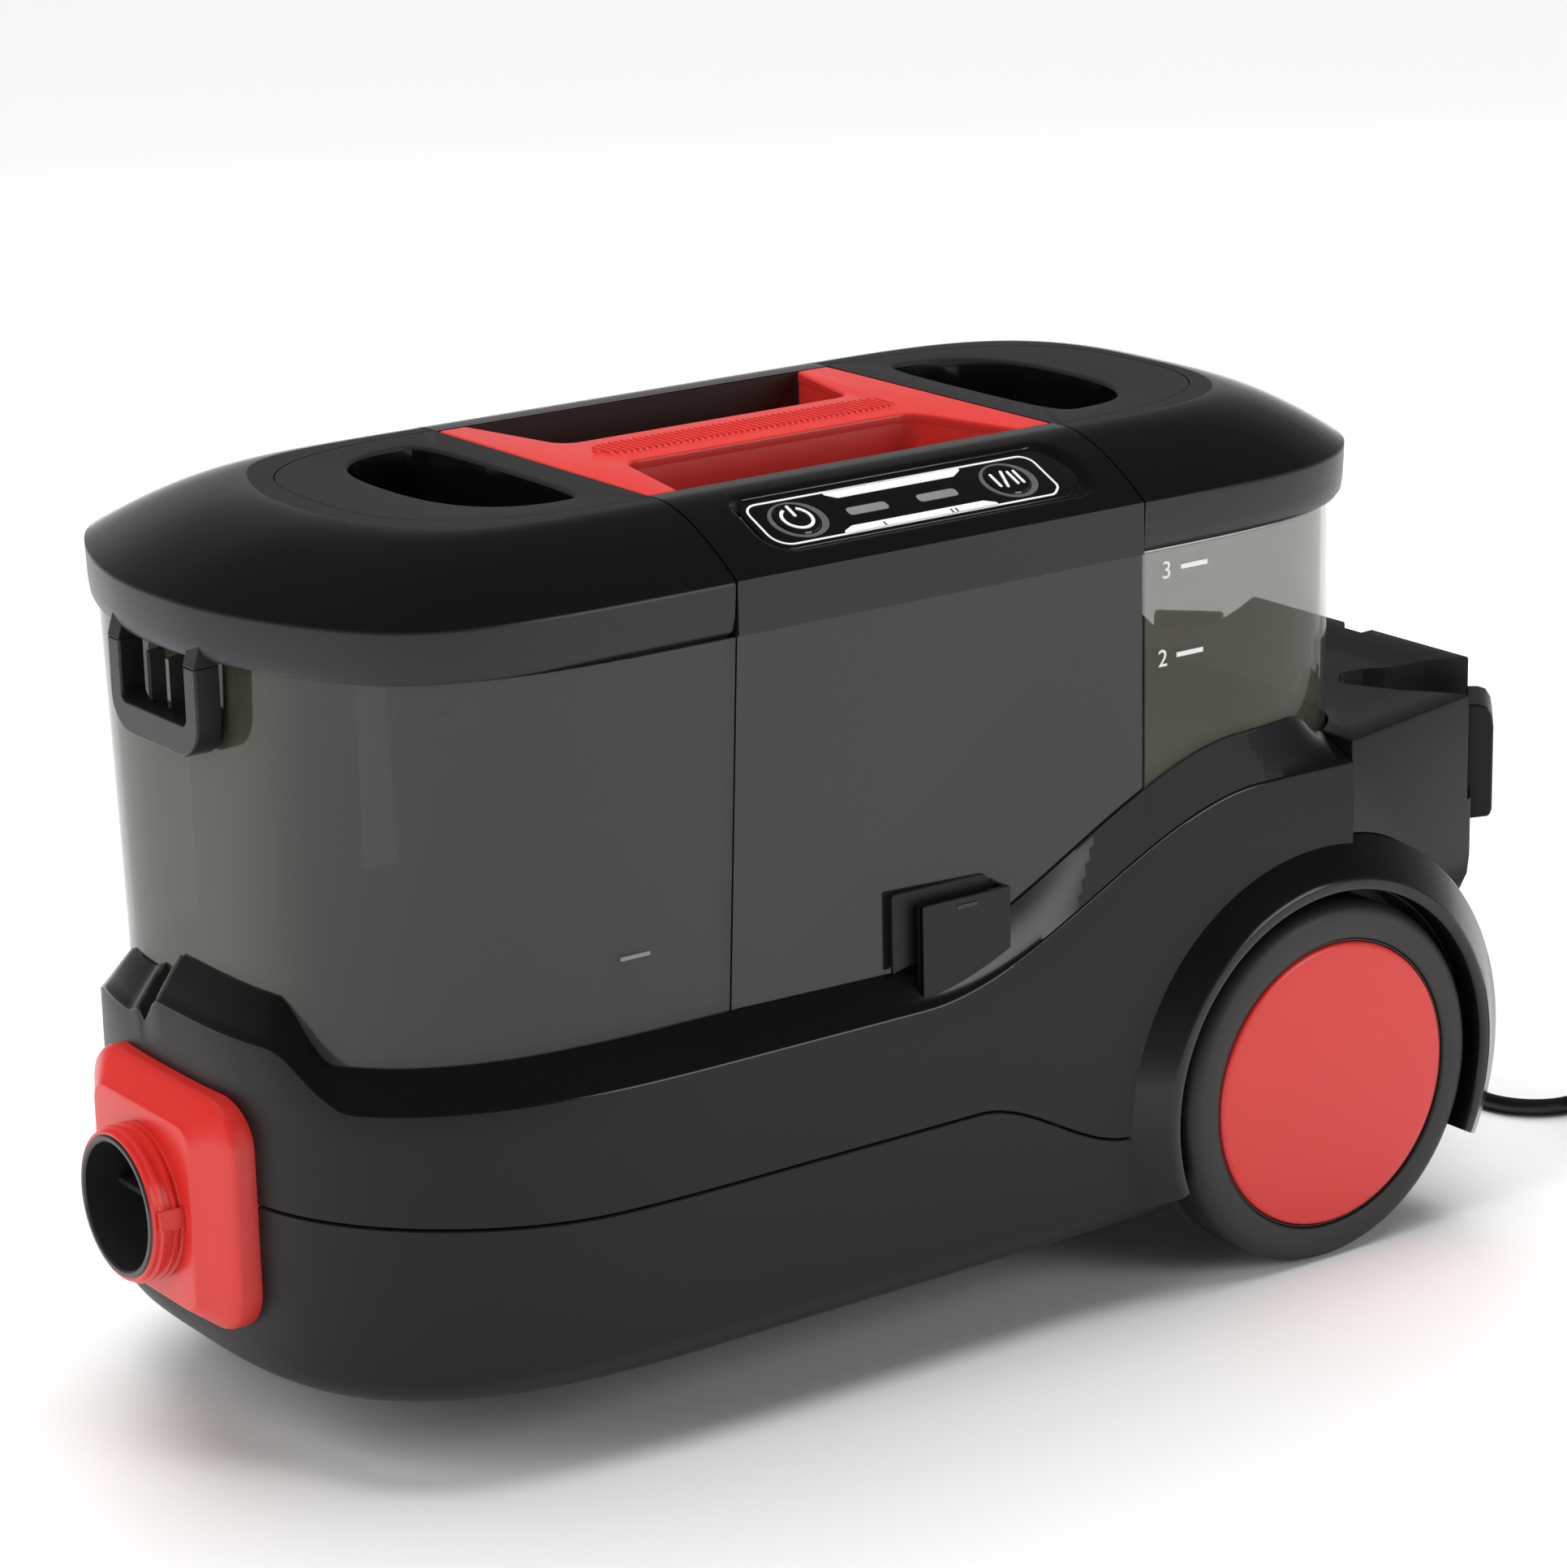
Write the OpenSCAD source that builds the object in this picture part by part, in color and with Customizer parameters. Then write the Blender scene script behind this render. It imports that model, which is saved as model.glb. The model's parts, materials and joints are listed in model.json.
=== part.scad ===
// Canister carpet cleaner: hose port at the front (-X), two large wheels at the back,
// dirty water tank in front, motor and pump in the middle, clean water tank behind.
// Sizes are measured from the rear axle; at_origin() then centres the machine over Z.

/* [Overall] */
// Height of the top deck above the floor
deck_z = 342; // [285:1:411]
// Half width of the band under the lids
half_w = 126.5; // [105.5:0.5:152]
// Distance between the two cross seams
mid_len = 186; // [175:1:224]
// Distance from the rear seam to the axle
axle_back = 86; // [84:1:100]
// Front lid length, from the front seam to its nose
front_len = 164; // [150:1:197]
// Rear lid length, from the rear seam to its nose
rear_len = 150; // [140:1:170]

/* [Base] */
// Gap between the base and the floor
floor_gap = 30; // [25:1:36]
// Height of the seam between the pan and the upper base
seam_z = 99; // [92:1:110]
// Height of the ledge that carries the front tank
ledge_z = 158.5; // [150:0.5:170]
// Height of the wall around the rear tank
wall_z = 222; // [215:1:240]
// Wall thickness of the base shells
base_t = 3.5; // [2.5:0.5:4]

/* [Wheels] */
// Radius of a rear tyre
tyre_r = 74; // [62:1:80]
// Width of a rear tyre
tyre_w = 26; // [22:1:31]
// Radius of the red hub cap
cap_r = 58; // [49:1:60]
// Radius of the steel axle
axle_r = 5; // [4:0.5:6]
// Radius of the front caster wheel
caster_r = 14; // [12:0.5:14.5]

/* [Tanks] */
// Wall thickness of both tanks
tank_t = 2.5; // [2:0.5:3]
// Bottom of the clean water tank
rear_tank_z = 184; // [182:1:190]
// Radius of the float ball
float_r = 16; // [13:0.5:18]

/* [Hose port] */
// Bore radius of the hose socket
port_r = 24; // [20:0.5:26]
// Height of the hose port's axis
port_z = 95; // [90:1:100]
// How far the port stands out from the base
port_out = 28; // [24:1:34]

/* [Controls] */
// Radius of both push buttons
button_r = 9.2; // [7.5:0.1:11]
// Travel of a push button
button_travel = 1.5; // [1:0.1:1.8]

/* [Motor and pump] */
// Radius of the motor housing
motor_r = 58; // [48:1:64]
// Radius of the motor shaft
shaft_r = 4; // [3:0.5:5]
// Radius of the pump body
pump_r = 17; // [14:0.5:18]

/* [Cord] */
// Diameter of the mains cord
cord_d = 7; // [6:0.5:8]

/* [Hidden] */
$fn = 72;
eps = 0.02;

// Where the seams, ends and walls fall, along X from the axle
x2 = -axle_back;
x1 = x2 - mid_len;
gap = 0.4;
base_hw = half_w + 4.5;
base_len = front_len + 1;
base_tip = x1 - base_len;
drum_r = tyre_r + 25;
caddy_front = 17;
caddy_back = 139;
port_tip = base_tip - port_out;
mid_x = (port_tip + caddy_back) / 2;
band_lo = deck_z - 41.3;
band_hi = deck_z - 21.4;
well_in = base_hw - 20.5;
wheel_out = base_hw + 8.5;
wheel_in = wheel_out - tyre_w;
well_r = tyre_r + 5;
nose_n = 3;
steps = 22;

module at_origin() { translate([-mid_x, 0, 0]) children(); }
module both_sides() { children(); mirror([0, 1, 0]) children(); }

// Plan curves: half of a superellipse, closed by the straight seam
function spow(v, p) = sign(v) * pow(abs(v), p);
// A power given as [at the nose, at the seam] squares the curve off as it leaves the nose
function nose_point(t, n) = is_list(n)
    ? let (s = pow(abs(sin(t)), 2 / 3), p = n[0] + (n[1] - n[0]) * s * s * s)
        [pow(max(0, 1 - pow(s, p)), 1 / p), sign(sin(t)) * s]
    : [pow(abs(cos(t)), 2 / n), spow(sin(t), 2 / n)];
function half_plan(xs, len, w, n, dir) = [for (i = [0:steps])
    let (q = nose_point(dir * (180 * i / steps - 90), n))
    [xs + dir * len * q[0], w * q[1]]];
function ring_at(pts, z) = [for (p = pts) [p[0], p[1], z]];
function smooth(t) = let (c = max(0, min(1, t))) c * c * (3 - 2 * c);

module loft(rings) {
    n = len(rings[0]);
    m = len(rings);
    polyhedron(points = [for (r = rings) each r],
        faces = concat([[for (i = [0:n - 1]) i]],
            [for (j = [0:m - 2]) for (i = [0:n - 1])
                [j * n + i, (j + 1) * n + i, (j + 1) * n + (i + 1) % n, j * n + (i + 1) % n]],
            [[for (i = [n - 1:-1:0]) (m - 1) * n + i]]));
}
module slab(pts, z0, z1) { translate([0, 0, z0]) linear_extrude(z1 - z0) polygon(pts); }
// A shape drawn in X and Z, carried across the width from y0 to y1
module across(pts, y0, y1) {
    translate([0, y1, 0]) rotate([90, 0, 0]) linear_extrude(y1 - y0) polygon(pts);
}
module box(x, y, z) { translate([x[0], y[0], z[0]]) cube([x[1] - x[0], y[1] - y[0], z[1] - z[0]]); }
// A rod along X, Y or Z between two stations
module rod_x(r, x0, x1, y = 0, z = 0) {
    translate([x0, y, z]) rotate([0, 90, 0]) cylinder(r = r, h = x1 - x0);
}
module rod_y(r, y0, y1, x = 0, z = 0) {
    translate([x, y1, z]) rotate([90, 0, 0]) cylinder(r = r, h = y1 - y0);
}
module rod_z(r, z0, z1, x = 0, y = 0) { translate([x, y, z0]) cylinder(r = r, h = z1 - z0); }
module tube_z(ro, ri, z0, z1, x = 0, y = 0) {
    difference() {
        rod_z(ro, z0, z1, x, y);
        rod_z(ri, z0 - 1, z1 + 1, x, y);
    }
}

// ---- base ----
// Plan of the base, inset by d from its outer skin, running back under the caddy
function base_plan(d, back) = concat(half_plan(x1, base_len - d, base_hw - d, nose_n, -1),
    [[back, -(base_hw - d)], [back, base_hw - d]]);
rise_back = caddy_front - gap;
module base_body(d) {
    rim = [[floor_gap + d, 24], [floor_gap + 3 + d, 13], [floor_gap + 8 + d, 5], [floor_gap + 18, 0],
        [wall_z, 0]];
    loft([for (r = rim) ring_at(base_plan(r[1] + d, rise_back), r[0])]);
}
seam_drop = 27;
seam_pts = [for (i = [0:12]) let (x = -175 + i * 7) [x, seam_z - seam_drop * smooth((x + 170) / 75)]];
function under_seam(dz) = concat([[base_tip - 9, 0]], [[base_tip - 9, seam_z + dz]],
    [for (p = seam_pts) [p[0], p[1] + dz]],
    [[drum_r + 60, seam_z - seam_drop + dz], [drum_r + 60, 0]]);
rise_pts = [for (i = [0:14]) let (x = -203 + i * 12)
    [x, ledge_z + (wall_z - ledge_z) * smooth((x + 203) / 165)]];
fall_pts = [for (i = [0:4]) let (x = -8 + i * 6.15) [x, wall_z - 12 * smooth((x + 8) / 24.6)]];
function under_rise(dz) = concat([[base_tip - 9, 0], [base_tip - 9, ledge_z + dz]],
    [for (p = rise_pts) [p[0], p[1] + dz]], [for (p = fall_pts) [p[0], p[1] + dz]], [[rise_back, 0]]);
fender_lo = 38;
module fender_ring() {
    intersection() {
        translate([0, 0, tyre_r]) rotate([90, 0, 0]) rotate_extrude(convexity = 4)
            polygon([[well_r, -wheel_out - 0.5], [well_r + 5, -wheel_out - 0.5], [drum_r + 1, -base_hw + 3],
                [drum_r + 1, -well_in], [well_r, -well_in]]);
        box([-150, 150], [-200, 200], [fender_lo, 200]);
    }
}
module drum(d) {
    intersection() {
        rod_y(drum_r - d, -(d > 0 ? well_in - d : base_hw), d > 0 ? well_in - d : base_hw, 0, tyre_r);
        box([-99, 150], [-200, 200], [floor_gap + d, 200]);
    }
}
module base_shell() {
    difference() {
        union() {
            base_body(0);
            drum(0);
            fender_ring();
            mirror([0, 1, 0]) fender_ring();
        }
        difference() {
            base_body(base_t);
            both_sides() box([-drum_r - base_t, 40], [well_in - base_t, 200], [0, 300]);
        }
        drum(base_t);
        both_sides() rod_y(well_r, well_in, 200, 0, tyre_r);
        rod_y(axle_r, -200, 200, 0, tyre_r);
    }
}
caster_x = -310;
stem_r = 4;
boss_top = 52;
screw_xs = [-400, -240, -120];
function screw_y(x) = x < -350 ? 70 : base_hw - 18;
module screw_posts(r, z0, z1) {
    for (x = screw_xs) both_sides() rod_z(r, z0, z1, x, screw_y(x));
}
grille_x = [-215, -155];
grille_y = 42;
module base_pan() {
    color([0.13, 0.13, 0.14]) at_origin() difference() {
        union() {
            intersection() {
                base_shell();
                across(under_seam(0), -200, 200);
            }
            rod_z(20, floor_gap + 1, boss_top, caster_x);
            screw_posts(6, floor_gap + 2, 85);
        }
        rod_z(17.5, 0, floor_gap + 3, caster_x);
        rod_z(stem_r + 0.05, 0, 90, caster_x);
        screw_posts(2, floor_gap + 12, 90);
        screw_posts(4.2, 0, floor_gap + 12);
        for (x = [grille_x[0] + 4:8:grille_x[1] - 2]) box([x - 1.5, x + 1.5], [-grille_y, grille_y], [0, 40]);
        port_hole();
        gland_hole();
    }
}
module port_hole() { rod_x(port_r + 2.6, base_tip - 60, x1 - 60, 0, port_z); }
front_deck = ledge_z - 4.5;
rear_deck = rear_tank_z - 0.6;
collar_z = 181;
collar_hw = 62;
duct_x = -390;
function collar_front() = [[-collar_hw - 34, ledge_z - 20], [-collar_hw - 20, ledge_z - 3],
    [-collar_hw, collar_z], [-11, collar_z], [0, collar_z - 11], [11, collar_z], [collar_hw, collar_z],
    [collar_hw + 20, ledge_z - 3], [collar_hw + 34, ledge_z - 20]];
// Side wall, ledge bevel and raised collar, before the tank wells are cut
module upper_skin() {
    difference() {
        intersection() {
            base_shell();
            union() {
                difference() {
                    across(under_rise(0), -200, 200);
                    across(under_seam(0.3), -210, 210);
                }
                box([rise_back, 150], [-200, 200], [seam_z - seam_drop + 0.3, 200]);
            }
        }
        ledge_bevel();
    }
    difference() {
        intersection() {
            slab(base_plan(0, rise_back), ledge_z - 22, collar_z);
            translate([base_tip - 1, 0, 0]) rotate([90, 0, 90]) linear_extrude(46) polygon(collar_front());
        }
        slab(base_plan(base_t, rise_back), ledge_z - 23, front_deck - 3);
    }
}
bevel_in = 12;
module ledge_bevel() {
    difference() {
        box([base_tip - 9, -203], [-200, 200], [ledge_z - bevel_in, wall_z + 1]);
        loft([ring_at(base_plan(0, rise_back), ledge_z - bevel_in - 1),
            ring_at(base_plan(0, rise_back), ledge_z - bevel_in),
            ring_at(base_plan(bevel_in, rise_back), ledge_z + eps)]);
    }
}
module decks() {
    slab(base_plan(base_t - 0.5, x1), front_deck - 3, front_deck);
    box([x1 - 1, x2 - 14], [-base_hw + base_t - 0.5, base_hw - base_t + 0.5], [front_deck - 3, front_deck]);
    box([x2 - 14, x2 - 11], [-base_hw + base_t - 0.5, base_hw - base_t + 0.5], [front_deck - 3, rear_deck]);
    box([x2 - 14, rise_back], [-base_hw + 1, base_hw - 1], [rear_deck - 3, rear_deck]);
}
module base_upper() {
    color([0.15, 0.15, 0.16]) at_origin() difference() {
        union() {
            upper_skin();
            decks();
            screw_posts(6, 85.3 + 12, front_deck - 1);
        }
        tank_well_front();
        slab(rear_tank_plan(-1.2), rear_deck, 400);
        casing_socket();
        port_hole();
        screw_posts(2, 80, 130);
        box([duct_x - 13, duct_x + 13], [-14, 14], [front_deck - 19, front_deck + 9]);
        rod_z(receiver_r, rear_deck - 9, rear_deck + 9, valve_x);
        rod_z(40, front_deck - 9, front_deck + 9, motor_x);
        for (p = hose_holes) rod_z(5, 100, rear_deck + 1, p[0], p[1]);
        both_sides() rod_y(well_r, well_in, 200, 0, tyre_r);
        rod_y(axle_r, -200, 200, 0, tyre_r);
        gland_hole();
    }
}
module skid_pads() {
    color([0.08, 0.08, 0.08]) at_origin() both_sides() translate([-262, base_hw - 40, floor_gap - 2.5]) {
        cylinder(r = 7, h = 2.5);
    }
}
module casing_screws() {
    color("silver") at_origin() for (x = screw_xs) both_sides() {
        rod_z(4, floor_gap + 9, floor_gap + 12, x, screw_y(x));
        rod_z(2, floor_gap + 12, 120, x, screw_y(x));
    }
}

// ---- wheels ----
module spun(pts) {
    translate([0, 0, tyre_r]) rotate([90, 0, 0]) rotate_extrude(convexity = 6) polygon(pts);
}
rim_r = cap_r + 3.6;
hub_out = wheel_out - 8;
module wheel() {
    o = -wheel_out;
    i = -wheel_in;
    spun([[axle_r + 0.05, i - 1], [12, i - 1], [12, i - 6], [rim_r - 5, i - 6], [rim_r - 5, i - 2],
        [rim_r, i - 2], [rim_r, o + 2.4], [rim_r - 5, o + 2.4], [rim_r - 5, i - 10], [12, i - 10],
        [12, -hub_out], [axle_r + 0.05, -hub_out]]);
}
module tyre() {
    o = -wheel_out;
    i = -wheel_in;
    spun(concat([[rim_r, i - 2]], [[cap_r + 1.5, i - 2], [cap_r + 1.5, i]],
        [for (a = [0:15:90]) [tyre_r - 6 + 6 * sin(a), i - 6 + 6 * cos(a)]],
        [for (a = [90:15:180]) [tyre_r - 6 + 6 * sin(a), o + 6 + 6 * cos(a)]],
        [[cap_r + 0.6, o], [cap_r + 0.6, o + 2.4], [rim_r, o + 2.4]]));
}
module hubcap() {
    o = -wheel_out;
    dome = 1.6;
    spun(concat([[0, o + 2.4], [0, o - dome]],
        [for (k = [1:6]) [cap_r * k / 6.4, o - dome * (1 - pow(k / 6.4, 2))]],
        [[cap_r, o + 0.4], [cap_r, o + 2.4], [cap_r - 8, o + 2.4], [cap_r - 8, -wheel_in - 10],
        [cap_r - 11, -wheel_in - 10], [cap_r - 11, o + 2.4]]));
}
module wheel_left() { color([0.12, 0.12, 0.12]) at_origin() mirror([0, 1, 0]) wheel(); }
module wheel_right() { color([0.12, 0.12, 0.12]) at_origin() wheel(); }
module tyre_left() { color([0.07, 0.07, 0.07]) at_origin() mirror([0, 1, 0]) tyre(); }
module tyre_right() { color([0.07, 0.07, 0.07]) at_origin() tyre(); }
module hubcap_left() { color([0.85, 0.12, 0.1]) at_origin() mirror([0, 1, 0]) hubcap(); }
module hubcap_right() { color([0.85, 0.12, 0.1]) at_origin() hubcap(); }
clip_in = hub_out + 0.4;
module rear_axle() { color("silver") at_origin() rod_y(axle_r, -hub_out - 3, hub_out + 3, 0, tyre_r); }
module axle_clips() {
    color("silver") at_origin() both_sides() difference() {
        rod_y(axle_r + 4, clip_in, clip_in + 1.2, 0, tyre_r);
        rod_y(axle_r, clip_in - 1, clip_in + 3, 0, tyre_r);
    }
}
trail = 8;
fork_in = 8.4;
module caster_fork() {
    color([0.2, 0.2, 0.2]) at_origin() translate([caster_x, 0, 0]) difference() {
        union() {
            rod_z(17, floor_gap - 0.6, floor_gap + 2.4);
            rod_z(stem_r, floor_gap + 2, boss_top + 3);
            both_sides() box([-3, trail + 6], [fork_in, fork_in + 2.5], [caster_r, floor_gap]);
            both_sides() rod_y(6, fork_in, fork_in + 2.5, trail, caster_r);
        }
        rod_y(2, -30, 30, trail, caster_r);
    }
}
module caster_axle() {
    color("silver") at_origin() rod_y(2, -fork_in - 3, fork_in + 3, caster_x + trail, caster_r);
}
module caster_wheel() {
    color([0.3, 0.3, 0.3]) at_origin() difference() {
        rod_y(caster_r, -7.5, 7.5, caster_x + trail, caster_r);
        rod_y(2.05, -10, 10, caster_x + trail, caster_r);
    }
}

// ---- hose port ----
bezel_back = base_tip + 4;
bezel_front = base_tip - 14.5;
function bezel_ring(x, hw, lo, hi, c) = [[x, -hw + c, lo], [x, -hw, lo + c], [x, -hw, hi - c],
    [x, -hw + c, hi], [x, hw - c, hi], [x, hw, hi - c], [x, hw, lo + c], [x, hw - c, lo]];
module hose_bezel() {
    color([0.86, 0.14, 0.12]) at_origin() difference() {
        loft([bezel_ring(bezel_back, 52, 53.5, 142, 12), bezel_ring(base_tip - 6, 51, 54.5, 141, 12),
            bezel_ring(bezel_front, 35.5, 60.5, 131.5, 8)]);
        rod_x(port_r + 2.4, port_tip - 9, x1, 0, port_z);
        loft([for (z = [40, 150]) ring_at(base_plan(-0.2, rise_back), z)]);
    }
}
module hose_collar() {
    color([0.86, 0.14, 0.12]) at_origin() difference() {
        union() {
            rod_x(port_r + 4.6, port_tip + 1, bezel_front, 0, port_z);
            rod_x(port_r + 6, port_tip + 3.5, port_tip + 5.5, 0, port_z);
            rod_x(port_r + 6, port_tip + 8, port_tip + 10, 0, port_z);
        }
        rod_x(port_r + 2.4, port_tip - 9, x1, 0, port_z);
    }
}
socket_in = duct_x + 20;
plate_x = port_tip + 22;
mouth = 12;
module hose_socket() {
    color([0.06, 0.06, 0.06]) at_origin() difference() {
        union() {
            rod_x(port_r + 2.3, port_tip, socket_in, 0, port_z);
            rod_x(port_r + 2.9, port_tip, port_tip + 0.8, 0, port_z);
        }
        difference() {
            union() {
                rod_x(port_r, port_tip - 9, port_tip + mouth, 0, port_z);
                rod_x(port_r - 0.6, port_tip - 9, socket_in - 4, 0, port_z);
            }
            box([port_tip + mouth, socket_in], [-1.2, 1.2], [port_z - port_r - 2, port_z - port_r + 3]);
            box([plate_x - 8, socket_in], [-30, 30], [port_z - 1, port_z + 1]);
        }
        box([duct_x - 12, socket_in - 4], [-12, 12], [port_z + 6, port_z + 40]);
        rod_x(4, socket_in - 9, socket_in + 4, hose_y, port_z - 9);
    }
}
coupler_r = 3.6;
hose_y = 17;
module water_coupler() {
    color([0.08, 0.08, 0.08]) at_origin() difference() {
        intersection() {
            rod_x(port_r - 0.6, plate_x, plate_x + 9, 0, port_z);
            box([plate_x, plate_x + 9], [2, 40], [port_z - 40, port_z - 1]);
        }
        for (y = [8, hose_y]) rod_x(coupler_r, plate_x - 4, plate_x + 20, y, port_z - 9);
    }
}
module suction_duct() {
    color([0.1, 0.1, 0.1]) at_origin() difference() {
        box([duct_x - 12.8, duct_x + 12.8], [-13.8, 13.8], [port_z + port_r - 6, front_deck]);
        box([duct_x - 10.8, duct_x + 10.8], [-11.8, 11.8], [0, 400]);
        rod_x(port_r + 2.35, port_tip, x1, 0, port_z);
    }
}
// ---- middle ----
// Side walls of the middle lean in towards the front tank and stand upright at the back
mid_x0 = x1 + gap;
mid_x1 = x2 - gap;
casing_lo = front_deck + 0.2;
module mid_block(d, z0, z1) {
    lean = 10;
    w = half_w - 1.1;
    polyhedron(points = [[mid_x0 + d, -w + lean + d, z0], [mid_x1 - d, -w + d, z0],
        [mid_x1 - d, w - d, z0], [mid_x0 + d, w - lean - d, z0], [mid_x0 + d, -w + d, z1],
        [mid_x1 - d, -w + d, z1], [mid_x1 - d, w - d, z1], [mid_x0 + d, w - d, z1]],
        faces = [[0, 1, 2, 3], [7, 6, 5, 4], [0, 4, 5, 1], [1, 5, 6, 2], [2, 6, 7, 3], [3, 7, 4, 0]]);
}
module casing_socket() {
    mid_block(-0.2, front_deck, band_lo + 60);
}
module mid_casing() {
    color([0.2, 0.2, 0.21]) at_origin() difference() {
        mid_block(0, casing_lo, band_lo);
        mid_block(3, casing_lo - 1, band_lo + 1);
        box([x2 - 14.3, x2 + 1], [-200, 200], [0, rear_deck + 0.3]);
    }
}
duct_port = [32, band_lo + 4, band_lo + 15];
module mid_band() {
    color([0.2, 0.2, 0.2]) at_origin() difference() {
        box([mid_x0, mid_x1], [-half_w, half_w], [band_lo, band_hi]);
        box([mid_x0 + 3, mid_x1 - 3], [-half_w + 3, half_w - 3], [0, 400]);
        box([mid_x0 - 1, mid_x0 + 4], [-duct_port[0], duct_port[0]], [duct_port[1], duct_port[2]]);
    }
}
// Shoulder of the lids: from the band (u = 0) up to the deck edge (u = 90)
deck_hw = 79.5;
shoulder_n = 1.28;
function out(u) = pow(cos(u), 2 / shoulder_n);
function up(u) = pow(sin(u), 2 / shoulder_n);
us = [0, 12, 26, 42, 60, 76, 90];
function shoulder_y(u, d) = deck_hw + (half_w - d - deck_hw) * out(u);
function shoulder_z(u, d) = band_hi + (deck_z - band_hi - d) * up(u);
function section(d, lo) = concat([for (u = us) [shoulder_y(u, d), shoulder_z(u, d)]],
    [for (k = [len(us) - 1:-1:0]) [-shoulder_y(us[k], d), shoulder_z(us[k], d)]],
    [[-half_w + d, lo], [half_w - d, lo]]);
module along_mid(pts, d) {
    translate([mid_x0 + d, 0, 0]) rotate([90, 0, 90]) linear_extrude(mid_x1 - mid_x0 - 2 * d) polygon(pts);
}
pad_hw = 72;
trough_lo = deck_z - 50;
pit_x = [x1 + 13, x2 - 16];
panel_tilt = 24.4;
module on_panel() {
    translate([(x1 + x2) / 2 + 3, -104.5 * half_w / 126.5, deck_z - 8.5])
        rotate([panel_tilt, 0, 0]) children();
}
module rounded_bar(l, w, r, z0, z1) {
    translate([0, 0, z0]) linear_extrude(z1 - z0) union() {
        for (x = [-1, 1]) for (y = [-1, 1]) translate([x * (l / 2 - r), y * (w / 2 - r)]) circle(r = r);
        square([l - 2 * r, w], center = true);
        square([l, w - 2 * r], center = true);
    }
}
module deck_cover() {
    color([0.05, 0.05, 0.06]) at_origin() difference() {
        union() {
            difference() {
                along_mid(section(0, band_hi), 0);
                along_mid(section(2.5, band_hi - 5), 2.5);
            }
            box([pit_x[0] - 2, pit_x[1] + 2], [-pad_hw - 2, pad_hw + 2], [trough_lo - 2, deck_z - 2]);
        }
        box([mid_x0 - 1, mid_x1 + 1], [-pad_hw, pad_hw], [deck_z - 4, deck_z + 9]);
        box(pit_x, [-pad_hw, pad_hw], [trough_lo, deck_z + 9]);
        on_panel() rounded_bar(152, 36, 12, -1, 12);
        on_panel() rounded_bar(144, 30, 10, -12, 12);
    }
}
grip_hw = 19.5;
grip_lo = deck_z - 26;
// Finger pit on one side of the grip, wider outside than inside
module pit() {
    slab([[pit_x[0] + 1, -pad_hw + 2.6], [pit_x[1] - 1, -pad_hw + 2.6], [pit_x[1] - 12, -grip_hw],
        [pit_x[0] + 12, -grip_hw]], deck_z - 9, deck_z + 9);
}
module carry_handle() {
    color([0.86, 0.14, 0.12]) at_origin() difference() {
        union() {
            box([mid_x0 + 0.2, mid_x1 - 0.2], [-pad_hw + 0.2, pad_hw - 0.2], [deck_z - 3.8, deck_z]);
            box([pit_x[0] + 0.3, pit_x[1] - 0.3], [-grip_hw + 4, grip_hw - 4], [grip_lo, deck_z - 1]);
            for (y = [-1, 1]) rod_x(4, pit_x[0] + 0.3, pit_x[1] - 0.3, y * (grip_hw - 4), grip_lo + 4);
            box([pit_x[0] + 0.3, pit_x[1] - 0.3], [-grip_hw, grip_hw], [grip_lo + 4, deck_z - 1]);
        }
        pit();
        mirror([0, 1, 0]) pit();
    }
}
power_at = [-53.5, 0];
mode_at = [42.5, 0];
lens_at = [[-22.5, -1], [9.3, -1]];
module panel_plate() {
    color([0.04, 0.04, 0.04]) at_origin() on_panel() difference() {
        rounded_bar(143.6, 29.6, 9.8, -4, -1);
        translate(power_at) cylinder(r = button_r + 0.4, h = 40, center = true);
        translate(mode_at) cylinder(r = button_r + 0.4, h = 40, center = true);
        for (p = lens_at) translate(p) rounded_bar(18.2, 4.6, 2, -20, 20);
    }
}
module indicator_lenses() {
    color("white") at_origin() on_panel() for (p = lens_at) translate(p) rounded_bar(18, 4.4, 1.9, -4, -0.8);
}
plunger_lo = -9;
board_top = -15.4;
module button() {
    translate([0, 0, -7]) cylinder(r = button_r, h = 6.6);
    translate([0, 0, -7]) cylinder(r = button_r + 1.6, h = 1.6);
    translate([0, 0, plunger_lo]) cylinder(r = 2, h = 2.5);
}
module power_button() { color([0.1, 0.1, 0.1]) at_origin() on_panel() translate(power_at) button(); }
module mode_button() { color([0.1, 0.1, 0.1]) at_origin() on_panel() translate(mode_at) button(); }
module control_pcb() {
    color("darkgreen") at_origin() on_panel() {
        rounded_bar(136, 20, 1, board_top - 1.6, board_top);
        for (p = [power_at, mode_at]) translate([p[0], p[1], board_top]) {
            translate([-3, -3, 0]) cube([6, 6, 3.5]);
            cylinder(r = 1.6, h = plunger_lo - button_travel - 0.5 - board_top);
        }
    }
}
clip_x = [-193.5, -152.5];
clip_t = 2;
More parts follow.
